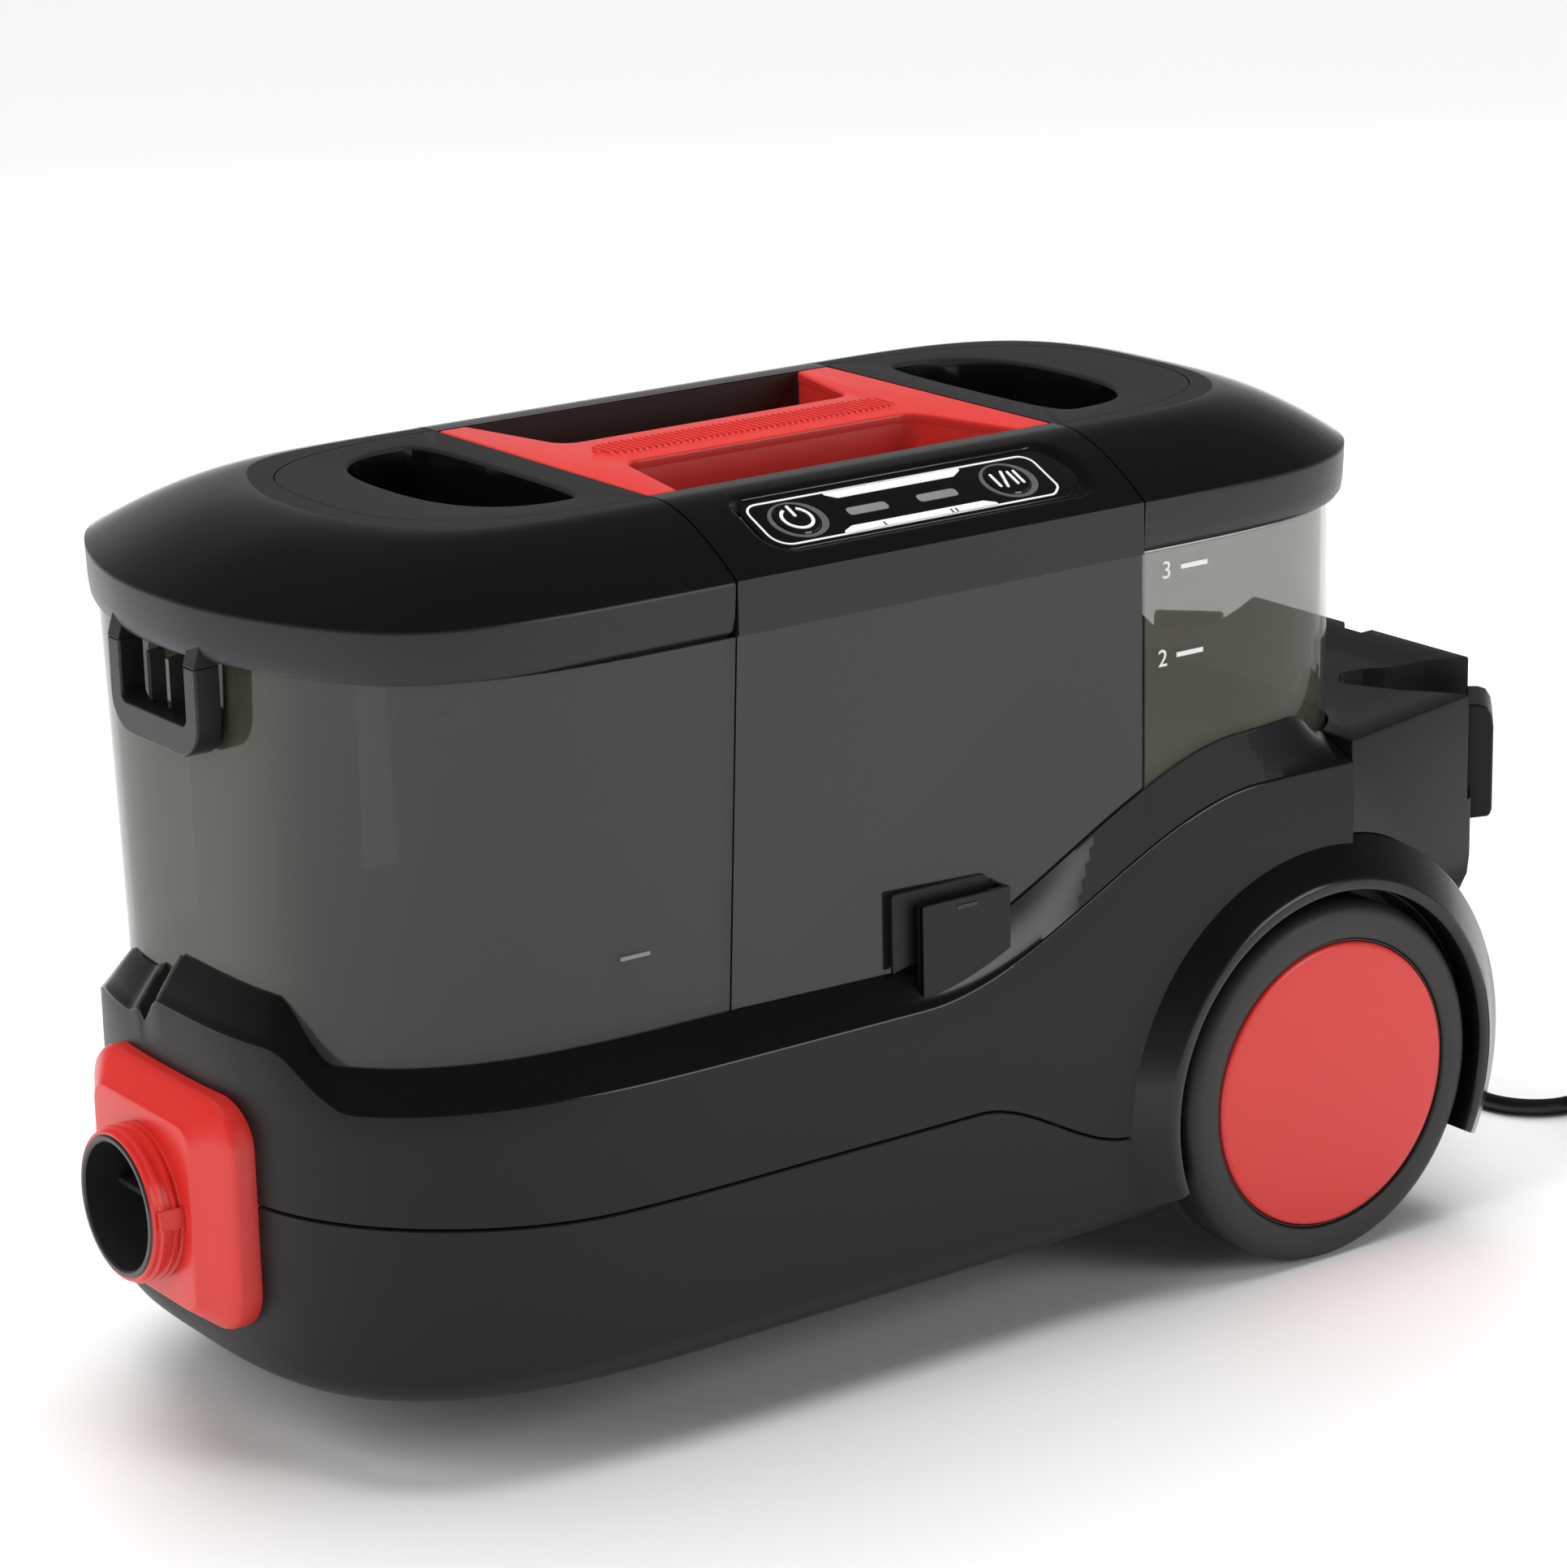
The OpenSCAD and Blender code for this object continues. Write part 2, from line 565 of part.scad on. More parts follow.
// Open pocket between the wall and the casing: front plate, floor, end plate and a side tab
module accessory_clip() {
    front = -base_hw + 3.7;
    back = -half_w + 3.3;
    floor_lo = front_deck + gap;
    top = ledge_z + 26;
    tab_lo = ledge_z + 1.5;
    color([0.12, 0.12, 0.12]) at_origin() {
        box(clip_x, [front, front + clip_t], [floor_lo, top]);
        box(clip_x, [front, back], [floor_lo, floor_lo + clip_t]);
        box([clip_x[1] - clip_t, clip_x[1]], [front, back], [floor_lo, top]);
        box([clip_x[0], clip_x[0] + clip_t], [front, back + clip_t], [floor_lo, top]);
        box([clip_x[0] - 10, clip_x[0] + eps], [back, back + clip_t], [tab_lo, top + 5]);
    }
}
function caddy_plan(d) = [[caddy_front, -base_hw + 2 + d], [caddy_back - 39, -110 * base_hw / 131 + d],
    [caddy_back - d, -68 + d / 2], [caddy_back - d, 68 - d / 2], [caddy_back - 39, 110 * base_hw / 131 - d],
    [caddy_front, base_hw - 2 - d]];
caddy_z = 210;
caddy_lo = 118;
slot_z = 165;
module caddy_slot() {
    slab([[78, -64], [90, -48], [112, -53], [caddy_back + 9, -63], [caddy_back + 9, -140], [92, -94]],
        slot_z, 300);
    rod_z(11, slot_z, 300, 84, -56);
}
cleat_w = 32;
cleat_out = 9;
// Hook strip that stands out of the diagonal corner face and rises free beside the slot
module cleat() {
    p = caddy_plan(0)[1];
    q = caddy_plan(0)[2];
    color([0.16, 0.16, 0.17]) at_origin()
        translate([(p[0] + q[0]) / 2, (p[1] + q[1]) / 2, slot_z - 13])
            rotate([0, 0, atan2(q[1] - p[1], q[0] - p[0])])
                translate([-cleat_w / 2, -cleat_out, 0]) cube([cleat_w, cleat_out + 2, 49]);
}
// Solid corner block around one slot, outlined in plan
function slot_block() = [[70, -70], [84, -38], [caddy_back, -50], [caddy_back, -75],
    [caddy_back - 39, -112 * base_hw / 131], [86, -104]];
module rear_caddy() {
    color([0.16, 0.16, 0.17]) at_origin() difference() {
        slab(caddy_plan(0), caddy_lo, caddy_z);
        difference() {
            slab(caddy_plan(3), caddy_lo - 1, caddy_z - 3);
            box([caddy_front - 1, caddy_front + 3], [-200, 200], [0, 300]);
            both_sides() slab(slot_block(), slot_z - 15, 300);
        }
        rod_y(drum_r + 1.4, -200, 200, 0, tyre_r);
        slab(rear_tank_plan(-2), 0, 400);
        both_sides() caddy_slot();
        box([caddy_back - 8, caddy_back + 1], [-7, 7], [caddy_z - 12, caddy_z + 1]);
    }
    both_sides() cleat();
}

// ---- motor, pump and water ----
motor_x = (x1 + x2) / 2;
motor_lo = front_deck + 16;
module motor_seat() {
    color([0.3, 0.3, 0.3]) at_origin() difference() {
        rod_z(motor_r + 3, front_deck, motor_lo, motor_x);
        rod_z(motor_r - 8, front_deck - 1, motor_lo - 4, motor_x);
        rod_z(34, 0, 400, motor_x);
    }
}
fan_lo = motor_lo + 62;
motor_hi = fan_lo + 26;
module motor_housing() {
    color([0.75, 0.75, 0.78]) at_origin() difference() {
        union() {
            rod_z(42, motor_lo, fan_lo, motor_x);
            rod_z(motor_r, fan_lo - 4, motor_hi, motor_x);
        }
        rod_z(39, motor_lo + 3, fan_lo - 8, motor_x);
        rod_z(motor_r - 3, fan_lo - 1, motor_hi - 3, motor_x);
        rod_z(10, 0, motor_lo + 20, motor_x);
        rod_z(10, fan_lo - 10, fan_lo + 1, motor_x);
        rod_z(20, motor_hi - 5, 400, motor_x);
        for (a = [0:60:300]) translate([motor_x, 0, motor_lo + 40]) rotate([0, 90, a + 30])
            cylinder(r = 7, h = 60);
    }
}
module motor_bearings() {
    color("silver") at_origin() {
        tube_z(10, shaft_r + 0.03, motor_lo + 0.5, motor_lo + 3, motor_x);
        tube_z(10, shaft_r + 0.03, fan_lo - 8, fan_lo - 1.5, motor_x);
    }
}
module motor_rotor() {
    color([0.6, 0.35, 0.2]) at_origin() {
        rod_z(shaft_r, motor_lo - 2, fan_lo + 16, motor_x);
        tube_z(24, shaft_r, motor_lo + 12, motor_lo + 44, motor_x);
        tube_z(12, shaft_r, motor_lo + 5, motor_lo + 11, motor_x);
    }
}
fan_r = motor_r - 8;
module motor_fan() {
    color([0.8, 0.8, 0.82]) at_origin() {
        tube_z(fan_r, shaft_r, fan_lo + 2, fan_lo + 4, motor_x);
        for (a = [0:40:320]) translate([motor_x, 0, fan_lo + 4]) rotate([0, 0, a]) translate([10, -1, 0])
            cube([fan_r - 12, 2, 9]);
        tube_z(9, shaft_r, fan_lo + 4, fan_lo + 12, motor_x);
    }
}
module intake_duct() {
    color([0.15, 0.15, 0.15]) at_origin() difference() {
        union() {
            tube_z(26, 22, motor_hi + 0.2, trough_lo - 8, motor_x);
            box([x1 + 3.6, motor_x], [-30, 30], [trough_lo - 16, trough_lo - 3]);
            box([x1 + 3.6, x1 + 10.6], [-30, 30], [trough_lo - 16, duct_port[2] + 2]);
        }
        rod_z(22, 0, trough_lo - 8, motor_x);
        box([x1 + 5.6, motor_x + 10], [-28, 28], [trough_lo - 14, trough_lo - 5]);
        box([x1 + 5.6, x1 + 8.6], [-28, 28], [trough_lo - 14, duct_port[2]]);
        box([x1 - 3, x1 + 6], [-28, 28], [duct_port[1], duct_port[2]]);
    }
}
pump_y = half_w - 34;
pump_at = [-150, -104];
pump_z = front_deck + 40;
module pump_body() {
    color([0.25, 0.25, 0.27]) at_origin() difference() {
        union() {
            rod_x(pump_r, pump_at[0], pump_at[1], pump_y, pump_z);
            box([pump_at[0] + 6, pump_at[1] - 6], [pump_y - 8, pump_y + 8], [front_deck + 0.4, pump_z]);
            rod_x(5, pump_at[0] - 10, pump_at[0] + 1, pump_y, pump_z);
        }
        rod_x(6.05, pump_at[0] + 6, pump_at[1] - 4, pump_y, pump_z);
        rod_x(3, pump_at[0] - 20, pump_at[0] + 9, pump_y, pump_z);
    }
}
module pump_plunger() {
    color("silver") at_origin() rod_x(6, pump_at[0] + 12, pump_at[1] - 10, pump_y, pump_z);
}
valve_x = -40;
valve_stem_r = 3;
receiver_r = 15;
module valve_receiver() {
    color([0.2, 0.2, 0.2]) at_origin() {
        difference() {
            rod_z(receiver_r, rear_deck - 14, rear_deck, valve_x);
            rod_z(receiver_r - 2, rear_deck - 11, rear_deck + 2, valve_x);
            rod_z(2.5, 0, rear_deck, valve_x + 8);
        }
        rod_z(2, rear_deck - 12, rear_deck - 6, valve_x);
    }
}
hose_r = 3.5;
hose_holes = [[pump_at[1] + 10, pump_y], [pump_at[0] - 15, pump_y]];
hose_bend = 4;
// A bent hose through its corner points, each corner rounded
function bend(a, p, b) = let (u = hose_bend * unit(a - p), v = hose_bend * unit(b - p))
    [for (t = [0:0.25:1]) p + (1 - t) * (1 - t) * u + t * t * v];
function rounded(pts) = concat([pts[0]],
    [for (i = [1:len(pts) - 2]) each bend(pts[i - 1], pts[i], pts[i + 1])], [pts[len(pts) - 1]]);
module hose(pts, r) { swept(rounded(pts), r, 10, [1, 1, 1]); }
module water_hoses() {
    x_in = pump_at[1] + 10;
    x_out = pump_at[0] - 15;
    run_z = 135;
    color([0.7, 0.7, 0.68]) at_origin() {
        hose([[pump_at[1], pump_y, pump_z], [x_in, pump_y, pump_z], [x_in, pump_y, run_z],
            [valve_x + 8, 45, run_z], [valve_x + 8, 0, run_z], [valve_x + 8, 0, rear_deck - 14]], hose_r);
        hose([[pump_at[0] - 10, pump_y, pump_z], [x_out, pump_y, pump_z], [x_out, pump_y, run_z],
            [x1, 50, run_z - 20], [duct_x + 45, hose_y, port_z - 9],
            [plate_x + 9, hose_y, port_z - 9]], hose_r);
    }
}

// ---- front tank and lid ----
tank_top = band_lo - 0.4;
lean = 10;
function tank_plan(d, top) = half_plan(x1 - gap - d, (top ? 151 : 153.5) * front_len / 164 - gap - 2 * d,
    half_w - 1.1 - (top ? 0 : lean) - d, top ? 3.6 : 3.2, -1);
tank_lo = front_deck + 0.6;
module tank_well_front() {
    loft([ring_at(tank_plan(-1, false), front_deck), ring_at(tank_plan(-1, true), tank_top)]);
}
riser_x = [duct_x - 18, duct_x + 18];
module front_tank() {
    color([0.3, 0.3, 0.26, 0.6]) at_origin() difference() {
        union() {
            loft([ring_at(tank_plan(0, false), tank_lo), ring_at(tank_plan(0, true), tank_top)]);
            for (y = [-12, 0, 12]) across([[x1 - 140, tank_top - 3], [latch_x + 3.4, tank_top - 6],
                [latch_x + 3.4, tank_top - 24], [x1 - 140, tank_top - 34]], y - 1.2, y + 1.2);
        }
        loft([ring_at(tank_plan(tank_t, false), tank_lo + tank_t),
            ring_at(tank_plan(tank_t, true), tank_top + 1)]);
        box([duct_x - 10.8, duct_x + 10.8], [-11.8, 11.8], [0, 200]);
    }
}
module tank_riser() {
    color([0.2, 0.2, 0.2]) at_origin() difference() {
        box(riser_x, [-30, 30], [tank_lo + tank_t, band_lo - 22]);
        box([riser_x[0] + 2, riser_x[1] - 2], [-28, 28], [tank_lo + tank_t + 2, 400]);
        box([duct_x - 10.8, duct_x + 10.8], [-11.8, 11.8], [0, 200]);
    }
}
function lid_power(dir) = dir < 0 ? [2.4, 4] : [3, 3.3];
// Band of a lid: its nose leans in towards the tank below
function band_plan(d, top, dir) = half_plan(dir < 0 ? x1 - gap - d : x2 + gap + d,
    (dir < 0 ? front_len : rear_len) - (top ? 0 : 12) - gap - 2 * d, half_w - (top ? 0 : 1) - d,
    top ? lid_power(dir) : 3.5, dir);
// Shoulder of a lid at angle u, and the deck opening that takes the insert
function lid_ring(u, d, dir) = ring_at(half_plan(dir < 0 ? x1 - gap - d : x2 + gap + d,
    (dir < 0 ? front_len : rear_len) - (dir < 0 ? 61 : 46) * (1 - out(u)) - gap - 2 * d, shoulder_y(u, d),
    lid_power(dir), dir), shoulder_z(u, d));
function insert_plan(d, dir) = half_plan(dir < 0 ? x1 - gap - d : x2 + gap + d,
    (dir < 0 ? front_len - 70 : rear_len - 50) - gap - 2 * d, 74 - d, 2.8, dir);
dee_at = [x1 - 15.5, x2 + 15];
function dee_plan(d, dir) = half_plan(dir < 0 ? dee_at[0] - d : dee_at[1] + d, 50 - 2 * d, 57 - d, 2.8, dir);
module lid_band(dir) {
    difference() {
        loft([ring_at(band_plan(0, false, dir), band_lo), ring_at(band_plan(0, true, dir), band_hi)]);
        loft([ring_at(band_plan(3, false, dir), band_lo + 3), ring_at(band_plan(3, true, dir), band_hi + 1)]);
    }
}
module lid_shoulder(dir) {
    difference() {
        loft([for (u = us) lid_ring(u, 0, dir)]);
        loft(concat([ring_at(band_plan(2.5, true, dir), band_hi - 1)], [for (u = us) lid_ring(u, 2.5, dir)]));
        slab(insert_plan(-0.2, dir), deck_z - 9, deck_z + 9);
    }
}
module lid_insert(dir) {
    difference() {
        union() {
            slab(insert_plan(0, dir), deck_z - 2.5, deck_z);
            slab(dee_plan(-2, dir), deck_z - 34, deck_z - 2);
        }
        slab(dee_plan(0, dir), deck_z - 32, deck_z + 9);
    }
}
cage_x = x1 - 45;
cage_lo = band_lo - 48;
module front_lid() {
    color([0.2, 0.2, 0.2]) at_origin() difference() {
        union() {
            difference() {
                union() {
                    lid_band(-1);
                    intersection() {
                        box([x1 - 164, x1 - 148], [-latch_hw - 6, latch_hw + 6], [band_lo, band_hi]);
                        loft([ring_at(band_plan(0, false, -1), band_lo),
                            ring_at(band_plan(0, true, -1), band_hi)]);
                    }
                }
                box([x1 - 190, latch_x + 3.8], [-latch_hw - 1, latch_hw + 1], [0, latch_z + 4.5]);
            }
            both_sides() box([latch_x - 3.5, latch_x + 5], [22, 26], [latch_z - 4, latch_z + 4]);
        }
        rod_z(float_r - 5, 0, 400, cage_x);
        box([x1 - 9, x1 + 9], [-duct_port[0], duct_port[0]], [duct_port[1], duct_port[2]]);
        rod_y(pin_r + 0.05, -60, 60, latch_x, latch_z);
    }
}
module front_lid_seal() {
    color("black") at_origin() difference() {
        slab(half_plan(x1 - 7, 136 * front_len / 164, half_w - 9, 3.4, -1), band_lo - 3, band_lo);
        slab(half_plan(x1 - 10, 130 * front_len / 164, half_w - 12, 3.4, -1), band_lo - 4, band_lo + 1);
    }
}
module front_lid_cover() { color([0.04, 0.04, 0.05]) at_origin() lid_shoulder(-1); }
module front_lid_insert() { color([0.16, 0.16, 0.16]) at_origin() lid_insert(-1); }
module float_cage() {
    color([0.8, 0.8, 0.8]) at_origin() difference() {
        rod_z(float_r + 3.5, cage_lo, band_lo, cage_x);
        rod_z(float_r + 1, cage_lo + 2.5, band_lo + 1, cage_x);
        for (a = [0:60:300]) translate([cage_x, 0, cage_lo + 4]) rotate([0, 0, a]) translate([8, -5, 0])
            cube([20, 10, 30]);
        rod_z(6, 0, 400, cage_x);
    }
}
module float_ball() {
    color("white") at_origin() translate([cage_x, 0, cage_lo + 2.9 + float_r]) sphere(r = float_r);
}
latch_x = x1 - 162;
latch_z = band_lo + 13;
latch_hw = 32;
latch_lo = band_lo - 37;
pin_r = 2;
module lid_latch() {
    color([0.12, 0.12, 0.12]) at_origin() {
        both_sides() {
            box([latch_x - 2.5, latch_x + 2.5], [latch_hw - 4.6, latch_hw], [latch_lo, latch_z]);
            rod_y(3.2, latch_hw - 4.6, latch_hw, latch_x, latch_z);
            rod_y(pin_r, 21, latch_hw - 4, latch_x, latch_z);
        }
        box([latch_x - 2.5, latch_x + 2.5], [-latch_hw, latch_hw], [latch_lo, latch_lo + 8]);
    }
}

// ---- rear tank and lid ----
function rear_tank_plan(d) = half_plan(x2 + gap + d, rear_len - 12 - gap - 2 * d, half_w - 0.6 - d, 3.4, 1);
module rear_tank() {
    color([0.5, 0.5, 0.4, 0.5]) at_origin() difference() {
        slab(rear_tank_plan(0), rear_tank_z, tank_top);
        slab(rear_tank_plan(tank_t), rear_tank_z + tank_t, tank_top + 1);
        rod_z(9, 0, 400, valve_x);
    }
}
module tank_valve() {
    color([0.15, 0.15, 0.15]) at_origin() difference() {
        union() {
            rod_z(9, rear_tank_z - 6, rear_tank_z + 6, valve_x);
            rod_z(13, rear_tank_z + tank_t, rear_tank_z + 6, valve_x);
        }
        rod_z(valve_stem_r + 0.05, 0, 400, valve_x);
    }
}
module valve_stem() {
    color("silver") at_origin() {
        rod_z(valve_stem_r, rear_tank_z - 6, rear_tank_z + 8, valve_x);
        rod_z(7, rear_tank_z + 6.2, rear_tank_z + 8, valve_x);
    }
}
module rear_lid() { color([0.2, 0.2, 0.2]) at_origin() lid_band(1); }
module rear_lid_cover() { color([0.04, 0.04, 0.05]) at_origin() lid_shoulder(1); }
module rear_lid_insert() { color([0.16, 0.16, 0.16]) at_origin() lid_insert(1); }

// ---- cord ----
gland_y = 30;
gland_z = 60;
gland_x = 98.6;
cord_exit = 134;
module gland_hole() { rod_x(6, 60, 130, gland_y, gland_z); }
module cord_gland() {
    color("black") at_origin() translate([0, gland_y, gland_z]) {
        rod_x(6, gland_x - 8, gland_x);
        rod_x(8, gland_x, gland_x + 2);
        translate([gland_x + 2, 0, 0]) rotate([0, 90, 0])
            cylinder(r1 = 6.5, r2 = cord_d / 2 + 0.6, h = cord_exit - gland_x - 2);
    }
}
// The cord falls from the gland to the floor, bends away and runs into its coil
floor_z = 3.6;
route = [[134, 30, 60], [147, 28, 57], [157, 20, 51], [164, 10, 41], [167, -3, 31], [167, -16, 20],
    [167, -29, 11], [167, -41, 5.6], [167, -52, floor_z], [169, -63, floor_z], [175, -72, floor_z],
    [184, -78, floor_z], [195, -80, floor_z], [209, -80, floor_z], [223, -80, floor_z]];
function unit(v) = v / norm(v);
function heading(pts, i) = unit(pts[min(i + 1, len(pts) - 1)] - pts[max(i - 1, 0)]);
function hoop(p, h, r, n, side) = let (s = unit(cross(h, side)), t = cross(s, h))
    [for (k = [0:n - 1]) p + r * (cos(360 * k / n) * s + sin(360 * k / n) * t)];
module swept(pts, r, n, side) {
    loft([for (i = [0:len(pts) - 1]) hoop(pts[i], heading(pts, i), r, n, side)]);
}
module power_cord() { color("black") at_origin() swept(route, cord_d / 2, 10, [0, 0, 1]); }
coil_at = [242, -127];
coil_mean = 40;
coil_levels = 7;
coil_top = coil_levels * cord_d;
module cord_coil() {
    color("black") at_origin() translate([coil_at[0], coil_at[1], 0]) rotate_extrude()
        translate([coil_mean - 1.5 * cord_d, 0]) square([3 * cord_d, coil_top]);
}
module plug() {
    color("black") at_origin() translate([coil_at[0], coil_at[1] + coil_mean, coil_top + 9]) {
        translate([-12, -12, -9]) cube([36, 24, 18]);
        translate([-30, 0, 0]) rotate([0, 90, 0]) cylinder(r1 = cord_d / 2 + 0.5, r2 = 7, h = 18);
        for (y = [-9.5, 9.5]) rod_x(2.4, 24, 43, y, 0);
    }
}

base_pan();
base_upper();
skid_pads();
casing_screws();
rear_axle();
axle_clips();
wheel_left();
wheel_right();
tyre_left();
tyre_right();
hubcap_left();
hubcap_right();
caster_fork();
caster_axle();
caster_wheel();
hose_bezel();
hose_collar();
hose_socket();
water_coupler();
suction_duct();
mid_casing();
mid_band();
deck_cover();
carry_handle();
panel_plate();
indicator_lenses();
power_button();
mode_button();
control_pcb();
accessory_clip();
rear_caddy();
motor_housing();
motor_bearings();
motor_rotor();
motor_fan();
motor_seat();
intake_duct();
pump_body();
pump_plunger();
water_hoses();
valve_receiver();
front_tank();
tank_riser();
front_lid();
front_lid_seal();
front_lid_cover();
front_lid_insert();
float_cage();
float_ball();
lid_latch();
rear_tank();
tank_valve();
valve_stem();
rear_lid();
rear_lid_cover();
rear_lid_insert();
cord_gland();
power_cord();
cord_coil();
plug();
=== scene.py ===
import json
import math

import bmesh
import bpy
import numpy as np
from mathutils import Matrix, Vector

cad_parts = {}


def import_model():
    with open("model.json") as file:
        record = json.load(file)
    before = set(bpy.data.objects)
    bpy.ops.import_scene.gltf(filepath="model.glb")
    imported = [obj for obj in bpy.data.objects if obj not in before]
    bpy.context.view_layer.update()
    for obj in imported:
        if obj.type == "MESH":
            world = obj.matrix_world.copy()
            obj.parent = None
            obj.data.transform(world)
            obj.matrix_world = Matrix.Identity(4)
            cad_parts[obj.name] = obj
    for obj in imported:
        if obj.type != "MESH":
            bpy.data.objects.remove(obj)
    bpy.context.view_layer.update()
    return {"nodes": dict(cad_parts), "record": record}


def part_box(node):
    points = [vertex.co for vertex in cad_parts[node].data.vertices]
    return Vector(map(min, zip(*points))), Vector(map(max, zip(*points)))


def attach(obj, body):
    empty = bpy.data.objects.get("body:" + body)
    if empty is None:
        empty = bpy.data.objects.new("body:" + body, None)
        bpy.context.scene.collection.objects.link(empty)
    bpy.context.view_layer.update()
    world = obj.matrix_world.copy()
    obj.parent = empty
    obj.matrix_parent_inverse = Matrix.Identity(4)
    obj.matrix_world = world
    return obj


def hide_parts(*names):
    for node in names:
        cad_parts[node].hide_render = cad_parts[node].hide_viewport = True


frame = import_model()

MM = 0.001


# ---- sizes, in millimetres from the rear axle, read from the frame ----
def centre_x(node):
    low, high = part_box(node)
    return (low.x + high.x) / 2


AXLE = centre_x("rear_axle")


def spans(node):
    """Low and high corner of a node in millimetres, with X counted from the axle."""
    low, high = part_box(node)
    shift = Vector((AXLE, 0, 0))
    return (low - shift) / MM, (high - shift) / MM


band_lo_corner, band_hi_corner = spans("mid_band")
GAP = 0.4
X1 = band_lo_corner.x - GAP
X2 = band_hi_corner.x + GAP
HALF_W = band_hi_corner.y
BAND_LO, BAND_HI = band_lo_corner.z, band_hi_corner.z
DECK = spans("carry_handle")[1].z
FRONT_LEN = X1 - spans("front_lid")[0].x
REAR_LEN = spans("rear_lid")[1].x - X2
BASE_HW = HALF_W + 4.5
BASE_LEN = FRONT_LEN + 1
BASE_TIP = X1 - BASE_LEN
TANK_LO, TANK_TOP = spans("front_tank")[0].z, spans("front_tank")[1].z
REAR_TANK_LO = spans("rear_tank")[0].z
FLOOR_GAP = spans("base_pan")[0].z
TYRE_R = spans("tyre_left")[1].z / 2
WHEEL_OUT = max(abs(corner.y) for corner in spans("tyre_left"))
WHEEL_IN = WHEEL_OUT - 26
CAP_R = (spans("hubcap_left")[1].z - spans("hubcap_left")[0].z) / 2
WELL_R = TYRE_R + 5
WELL_IN = BASE_HW - 20.5
DRUM_R = TYRE_R + 25
PORT_TIP = spans("hose_socket")[0].x
PORT_Z = (spans("hose_socket")[1].z + spans("hose_socket")[0].z) / 2
PORT_R = spans("hose_socket")[1].y - 2.9
CADDY_BACK = spans("rear_caddy")[1].x
CADDY_FRONT = 17
FRONT_DECK = TANK_LO - 0.6
REAR_DECK = REAR_TANK_LO - 0.6
SEAM_Z = 99
LEDGE_Z = 158.5
WALL_Z = 222
SHOULDER_N = 1.62
DECK_HW = 79.5


# ---- camera, and the scene around the object ----
def make_camera():
    turn, tilt, roll = math.radians(-35.414), math.radians(16.54), math.radians(-1.282)
    back = Vector((math.sin(turn) * math.cos(tilt), -math.cos(turn) * math.cos(tilt), math.sin(tilt)))
    right = Vector((math.cos(turn), math.sin(turn), 0))
    up = back.cross(right)
    side = math.cos(roll) * right + math.sin(roll) * up
    top = math.cos(roll) * up - math.sin(roll) * right
    data = bpy.data.cameras.new("camera")
    data.lens = 108.04
    data.sensor_width = 36
    data.clip_end = 50
    camera = bpy.data.objects.new("camera", data)
    bpy.context.scene.collection.objects.link(camera)
    turned = Matrix((side, top, back)).transposed().to_4x4()
    camera.matrix_world = Matrix.Translation((-1.0240, -1.4388, 0.7215)) @ turned
    bpy.context.scene.camera = camera


make_camera()


# ---- materials ----
def material(name, color, rough, bump=0.0, grain=900.0, spread=0.04, alpha=1.0, coat=0.0, metal=0.0, mottle=0.0,
             specular=0.5):
    """A moulded surface: fine grain in the bump, slow drift in roughness and in colour."""
    made = bpy.data.materials.new(name)
    made.use_nodes = True
    nodes, links = made.node_tree.nodes, made.node_tree.links
    shader = nodes["Principled BSDF"]
    shader.inputs["Metallic"].default_value = metal
    shader.inputs["Coat Weight"].default_value = coat
    shader.inputs["Coat Roughness"].default_value = 0.03
    shader.inputs["Alpha"].default_value = alpha
    shader.inputs["Specular IOR Level"].default_value = specular
    place = nodes.new("ShaderNodeTexCoord")
    drift = nodes.new("ShaderNodeTexNoise")
    drift.inputs["Scale"].default_value = 14
    drift.inputs["Detail"].default_value = 3
    links.new(place.outputs["Object"], drift.inputs["Vector"])
    rough_map = nodes.new("ShaderNodeMapRange")
    rough_map.inputs["To Min"].default_value = max(0.01, rough - spread)
    rough_map.inputs["To Max"].default_value = rough + spread
    links.new(drift.outputs["Fac"], rough_map.inputs["Value"])
    links.new(rough_map.outputs["Result"], shader.inputs["Roughness"])
    tint = nodes.new("ShaderNodeMix")
    tint.data_type = "RGBA"
    dark = [c * (1 - mottle) for c in color]
    light = [min(1, c * (1 + mottle)) for c in color]
    tint.inputs["A"].default_value = (*dark, 1)
    tint.inputs["B"].default_value = (*light, 1)
    links.new(drift.outputs["Fac"], tint.inputs["Factor"])
    links.new(tint.outputs["Result"], shader.inputs["Base Color"])
    if bump:
        grains = nodes.new("ShaderNodeTexNoise")
        grains.inputs["Scale"].default_value = grain
        grains.inputs["Detail"].default_value = 4
        links.new(place.outputs["Object"], grains.inputs["Vector"])
        relief = nodes.new("ShaderNodeBump")
        relief.inputs["Strength"].default_value = bump
        relief.inputs["Distance"].default_value = 0.0002
        links.new(grains.outputs["Fac"], relief.inputs["Height"])
        links.new(relief.outputs["Normal"], shader.inputs["Normal"])
    return made


